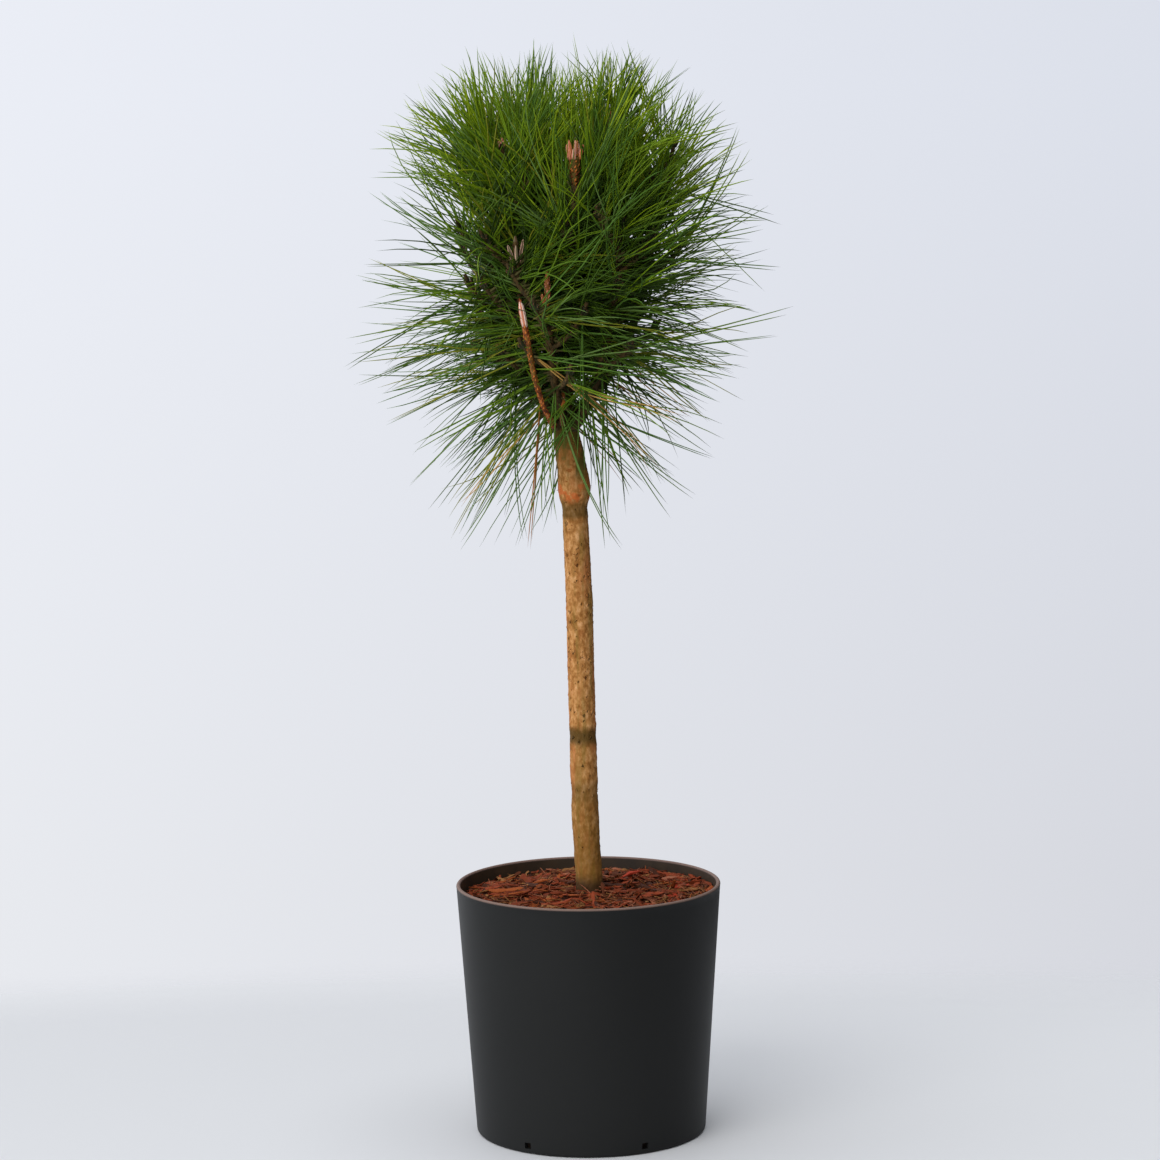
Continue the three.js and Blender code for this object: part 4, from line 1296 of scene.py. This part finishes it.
def make_chips(finishes, random):
    """Shredded bark: irregular strips and flakes that lie over one another inside the rim."""
    count = CHIPS
    length = 5.5 + 19 * random.random(count) ** 2.0
    out, about, x, y, spin = scatter(count, MULCH_REACH, 0.018, random)
    pitch = random.normal(0, 0.2, count)
    wide = random.uniform(1.1, 3.2, count) * (0.6 + length / 30)
    lift = random.uniform(-1.6, 1.5, count)
    kinds = random.choice(8, count, p=[0.22, 0.24, 0.2, 0.13, 0.08, 0.06, 0.06, 0.01])
    by_wall, many = slice(20, 20 + CHIPS_BY_WALL), CHIPS_BY_WALL
    for values in (x, y):
        values[by_wall] = values[by_wall] / out[by_wall] * random.uniform(85, 89.5, many)
    spin[by_wall] = about[by_wall] + math.pi / 2 + random.normal(0, 0.3, many)
    length[by_wall] = random.uniform(8, 20, many)
    lift[by_wall] = random.uniform(-0.6, 3.2, many)
    strips = LONG_STRIPS
    length[:strips] = random.uniform(24, 38, strips)
    x[:strips] = np.linspace(-84, -44, strips)
    y[:strips] = np.linspace(30, -22, strips) + random.uniform(-8, 10, strips)
    spin[:strips] = random.uniform(-1.1, -0.2, strips)
    pitch[:strips] = random.uniform(0.05, 0.32, strips)
    lift[:strips] = random.uniform(1.5, 3.4, strips)
    wide[:strips] = random.uniform(1.3, 2.4, strips)
    kinds[:strips] = random.choice([0, 1, 6], strips)
    for values, value in zip((x, y, length, wide, spin, pitch, lift, kinds), BRIGHT_CHIP):
        values[strips] = value
    heading = facing(spin, pitch)
    half = heading * length[:, None] / 2
    for _ in range(12):
        inward = np.where(farther_end(x, y, half) > MULCH_REACH, 0.93, 1.0)
        x, y = x * inward, y * inward
    at_stem = np.hypot(x - STEM_FOOT, y) < 11.5 + wide / 2
    x = np.where(at_stem, x + 13 * np.cos(about), x)
    y = np.where(at_stem, y + 13 * np.sin(about), y)
    keep = farther_end(x, y, half) <= MULCH_REACH + 0.2
    mound = 3.0 * near((x, -12, 46), (y, 22, 36))
    hollow = near((x, HOLLOW[0], 14), (y, HOLLOW[1], 17))
    # Painted shade: most chips in the hollow beside the stem take the dark mulch colour
    kinds = np.where(random.random(count) < 0.9 * hollow, list(MULCH_TINTS).index("mulch_dark"), kinds)
    lift = np.where(hollow > 0.4, np.minimum(lift, -0.4), lift)
    centre = np.stack([x, y, mulch_height(x, y) + lift + mound * (lift + 1.6) / 3.1], -1)
    bend = random.normal(0, 0.06, (count, 1)) * length[:, None]
    aside = unit(np.cross(heading, UP))
    level = unit(np.cross(aside, heading))
    lines = centre[:, None] + half[:, None] * (CHIP_SHARES * 2 - 1)[None, :, None]
    lines = lines + level[:, None] * (bend * (4 * (CHIP_SHARES - 0.5) ** 2)[None])[..., None]
    stations = (count, len(CHIP_SHARES))
    lines = lines + aside[:, None] * (random.normal(0, 0.05, stations) * length[:, None])[..., None] * 0.5
    radii = wide[:, None] * random.uniform(0.55, 1.0, stations) * CHIP_PROFILE
    across = unit(aside + UP * random.normal(0, 0.35, (count, 1)))
    places, parts = tubes(lines[keep], radii[keep], 6, across[keep], 0.32, kinds[keep])
    places = places + random.normal(0, 0.16, places.shape)
    add_piece("mulch_chips", places, parts, finishes, (), soften=False)


def make_fibres(finishes, random):
    """Thin fibres of bark that lie on top of the chips."""
    count = FIBRES
    _, _, x, y, spin = scatter(count, 86, 0, random)
    long = random.uniform(4, 15, count)
    heading = facing(spin, random.normal(0.1, 0.3, count))
    half = heading * long[:, None] / 2
    fits = (farther_end(x, y, half) < MULCH_REACH) & (np.hypot(x - STEM_FOOT, y) > 13)
    share = np.linspace(-0.5, 0.5, 6)
    bow = random.normal(0, 0.5, (count, 1)) * long[:, None]
    lines = np.stack([x, y, mulch_height(x, y) + random.uniform(1.2, 3.0, count)], -1)[:, None]
    lines = lines + heading[:, None] * long[:, None, None] * share[None, :, None]
    lines = lines + np.cross(heading, UP)[:, None] * (bow * (share**2)[None])[..., None]
    radii = np.array([0.3, 0.42, 0.45, 0.4, 0.3, 0.0])[None] * random.uniform(0.6, 1.3, (count, 1))
    kinds = random.choice([0, 4, 5, 6], count)
    places, parts = tubes(lines[fits], radii[fits], 3, np.tile(UP, (fits.sum(), 1)), 0.8, kinds[fits])
    add_piece("mulch_fibres", places, parts, finishes)


def make_pot_finish():
    pot = Finish("pot_plastic", (30, 31, 31), 0.5, 0.12)
    body = pot.ramp(pot.noise(7, 2), [(0.3, (30, 31, 31)), (0.7, (32, 33, 33))])
    lip = pot.spread(pot.height(), 0.1792, 0.1806)
    pot.set({"Base Color": pot.blend(pot.times(lip, 0.75), body, (136, 112, 102))})
    pot.bump(pot.noise(900, 2), 0.00005, 0.4)
    return pot


def make_ramped_finish(name, tint, roughness, specular, scale, detail, stops, stretch=(1, 1, 1), bump=None):
    """A finish whose colour, and relief where asked, follow one noise."""
    finish = Finish(name, tint, roughness, specular)
    grain = finish.noise(scale, detail, stretch)
    finish.set({"Base Color": finish.ramp(grain, stops)})
    if bump:
        finish.bump(grain, *bump)
    return finish


def make_inner_finish():
    """The inside of the pot's wall, browner than its outside."""
    stops = [(0.3, (42, 34, 26)), (0.7, (62, 48, 34))]
    return make_ramped_finish("pot_inside", (50, 44, 38), 0.6, 0.25, 40, 4, stops)


def make_shoot_finish():
    stops = [(0.3, (44, 38, 18)), (0.52, (72, 56, 28)), (0.72, (104, 80, 44))]
    return make_ramped_finish("shoot_bark", (96, 62, 32), 0.8, 0.2, 420, 4, stops, (1, 1, 0.5), (0.0002, 0.6))


def make_soil_finish():
    stops = [(0.35, (10, 7, 5)), (0.55, (24, 16, 11)), (0.75, (40, 28, 20))]
    return make_ramped_finish("potting_mix", (48, 32, 22), 0.95, 0.15, 300, 6, stops, bump=(0.0012, 0.9))


def make_bed_finish():
    stops = [(0.3, (34, 16, 10)), (0.55, (84, 42, 26)), (0.75, (128, 70, 44))]
    return make_ramped_finish("mulch_bed", (60, 30, 20), 0.92, 0.15, 180, 6, stops, bump=(0.0012, 0.9))


def make_twig_finish():
    """The bare twig's skin: ruddy, with an olive stretch part of the way up."""
    skin = Finish("twig_skin", (160, 92, 38), 0.6, 0.3)
    grain = skin.noise(260, 4)
    stops = [(0.3, (70, 26, 6)), (0.46, (108, 50, 16)), (0.6, (142, 78, 30)), (0.76, (200, 140, 86))]
    ruddy = skin.ramp(grain, stops)
    olive = skin.ramp(grain, [(0.3, (74, 44, 10)), (0.5, (112, 78, 22)), (0.72, (156, 116, 44))])
    height = skin.height()
    part_way = skin.times(skin.spread(height, 0.535, 0.552), skin.spread(height, 0.562, 0.578, 1.0, 0.0))
    skin.set({"Base Color": skin.blend(part_way, ruddy, olive)})
    return skin


def make_bark_finish():
    """Tan bark, mottled and finely scaled, olive towards the foot, with dark rings at its old whorls. Above
    the graft it is darker and olive, painted shade from the crown, with green patches of painted reflection
    from the needles, and darkest at the top, painted shade inside the crown.
    Heights are in metres here."""
    bark = Finish("stem_bark", (158, 112, 62), 0.8, 0.2)
    scales = bark.noise(300, 5, (1, 1, 0.6), 0.6)
    patch = bark.noise(60, 4, (1, 1, 0.5))
    stops = [(0.3, (122, 76, 28)), (0.43, (150, 100, 48)), (0.55, (180, 128, 72)), (0.72, (212, 162, 110))]
    tan = bark.blend(bark.spread(patch, 0.46, 0.64, 0.0, 0.6), bark.ramp(scales, stops), (176, 108, 60))
    streaks = bark.noise(240, 3, (1, 1, 0.06))
    skin = bark.blend(bark.spread(streaks, 0.5, 0.66, 0.0, 0.5), tan, (126, 104, 44))
    height = bark.height()
    # Painted shade: darker olive above the graft, where the crown shades the stem
    skin = bark.blend(bark.times(bark.spread(height, 0.462, 0.495), 0.55), skin, (96, 72, 22))
    # Painted reflection: green patches just above the graft stand for the needles' green reflected on the
    # stem
    needle_green_reflection = bark.spread(bark.noise(110, 3, (1, 1, 0.35)), 0.44, 0.56, 0.0, 0.8)
    skin = bark.blend(bark.times(needle_green_reflection, bark.spread(height, 0.466, 0.482)), skin, (70, 72, 18))
    graft = bark.times(bark.spread(height, 0.452, 0.459), bark.spread(height, 0.464, 0.478, 1.0, 0.2))
    ruddy = bark.times(graft, bark.spread(bark.noise(150, 3), 0.5, 0.58, 0.0, 0.75))
    skin = bark.blend(ruddy, skin, (184, 92, 38))
    uneven = bark.times(bark.noise(70, 3), 0.009)
    z = bark.maths("ADD", bark.maths("SUBTRACT", height, 0.0045), uneven)
    foot = bark.maths("SUBTRACT", 1.0, bark.spread(z, 0.19, 0.29))
    skin = bark.blend(bark.times(foot, 0.6), skin, (112, 84, 24))
    for middle, half, depth in DARK_RINGS:
        rise = bark.spread(z, middle - half * 2.0, middle - half * 0.5)
        fall = bark.spread(z, middle + half * 0.5, middle + half * 2.0, 1.0, 0.0)
        skin = bark.blend(bark.times(bark.times(rise, fall), depth), skin, (76, 56, 14))
    skin = bark.blend(bark.spread(z, 0.179, 0.189, 0.92, 0.0), skin, (58, 38, 18))
    # Painted shade: the top of the stem, inside the crown, is made darkest
    top = bark.times(bark.spread(height, 0.494, 0.52), 0.85)
    bark.set({"Base Color": bark.blend(top, skin, (66, 56, 16))})
    bark.set({"Roughness": bark.spread(scales, 0.3, 0.7, 0.9, 0.68)})
    bark.bump(scales, 0.0006, 0.45)
    return bark


def make_floor():
    """A plain pale floor that fades into the backdrop round the plant."""
    ground = Finish("floor", (213, 215, 218), 0.7, 0.2)
    place = ground.place()
    wide = ground.maths("POWER", ground.times(ground.along("X", place), 0.4), 2.0)
    deep = ground.maths("POWER", ground.along("Y", place), 2.0)
    away = ground.maths("POWER", ground.maths("ADD", wide, deep), 0.5)
    clear = ground.add("ShaderNodeBsdfTransparent", {})
    inputs = {0: ground.spread(away, 0.36, 0.56), 1: ground.shader.outputs[0], 2: clear}
    surface = ground.add("ShaderNodeMixShader", inputs)
    ground.links.new(surface, ground.nodes["Material Output"].inputs["Surface"])
    wide, deep = FLOOR_HALF
    places = np.array([[-wide, -deep, 0], [wide, -deep, 0], [wide, deep, 0], [-wide, deep, 0]], float)
    make_object("floor", places, [(np.array([[0, 1, 2, 3]]), 0)], [ground])


def make_studio():
    """Soft light that is brighter from the left, and a pale backdrop with painted light and shade: lighter on
    the left and towards the top.
    """
    world = bpy.data.worlds.new("studio")
    world.use_nodes = True
    studio = Nodes(world.node_tree)
    direction = studio.add("ShaderNodeTexCoord", {}, "Generated")

    def fade(axis, low, high, to_low, to_high):
        return studio.spread(studio.along(axis, direction), low, high, to_low, to_high, "LINEAR")

    def shade_across(left, right):
        return studio.blend(fade("X", -0.16, 0.16, 0.0, 1.0), left, right)

    light = studio.nodes["Background"]
    strength = fade("X", -0.9, 0.6, WORLD_LEFT, WORLD_RIGHT)
    lit = studio.fill(light, {"Color": (0.93, 0.95, 1.0, 1), "Strength": strength})
    # Painted light and shade on the backdrop: lighter on the left and above, darker on the right and below
    below = shade_across((232, 234, 239), (214, 216, 223))
    above = shade_across((235, 238, 246), (220, 224, 234))
    shade = studio.blend(fade("Z", -0.2, 0.01, 0.0, 1.0), below, above)
    shown = studio.add("ShaderNodeBackground", {"Color": shade})
    seen = studio.add("ShaderNodeLightPath", {}, "Is Camera Ray")
    surface = studio.add("ShaderNodeMixShader", {0: seen, 1: lit, 2: shown})
    studio.links.new(surface, studio.nodes["World Output"].inputs["Surface"])
    bpy.context.scene.world = world


def add_light(name, place, target, size, power, colour):
    data = bpy.data.lights.new(name, "AREA")
    data.shape = "DISK"
    data.size = size
    data.energy = power
    data.color = colour
    lamp = bpy.data.objects.new(name, data)
    lamp.location = place
    lamp.rotation_euler = (Vector(target) - Vector(place)).to_track_quat("-Z", "Y").to_euler()
    bpy.context.scene.collection.objects.link(lamp)


def make_camera():
    data = bpy.data.cameras.new("camera")
    data.sensor_width = 36.0
    data.lens = CAMERA_LENS
    data.clip_start = 0.1
    data.clip_end = 50.0
    camera = bpy.data.objects.new("camera", data)
    tilt = Matrix.Rotation(math.radians(90 - CAMERA_PITCH), 4, "X")
    roll = Matrix.Rotation(math.radians(-CAMERA_ROLL), 4, "Z")
    camera.matrix_world = Matrix.Translation(Vector(CAMERA_PLACE * MM)) @ tilt @ roll
    bpy.context.scene.collection.objects.link(camera)
    bpy.context.scene.camera = camera


make_camera()
make_floor()
make_studio()
add_light("key", (-1.45, -2.45, 1.8), (0, 0, 0.4), 2.8, 54, (1.0, 0.97, 0.93))
add_light("top", (0.4, 0.0, 2.7), (0.15, 0, 0.2), 3.0, 36, (0.97, 0.98, 1.0))
bpy.context.scene.view_settings.view_transform = "Standard"

make_pot([make_pot_finish(), make_inner_finish()])
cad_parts["potting_mix"].data.materials.clear()
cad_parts["potting_mix"].data.materials.append(make_soil_finish().material)
make_mulch_bed(make_bed_finish())
mulch_finishes = finishes_of(MULCH_TINTS, 0.85, 0.2)
mulch_random = np.random.default_rng(37)
make_chips(mulch_finishes, mulch_random)
make_fibres(mulch_finishes, mulch_random)
make_trunk([make_bark_finish(), Finish("knots", (138, 84, 36), 0.85, 0.2)])
make_crown()
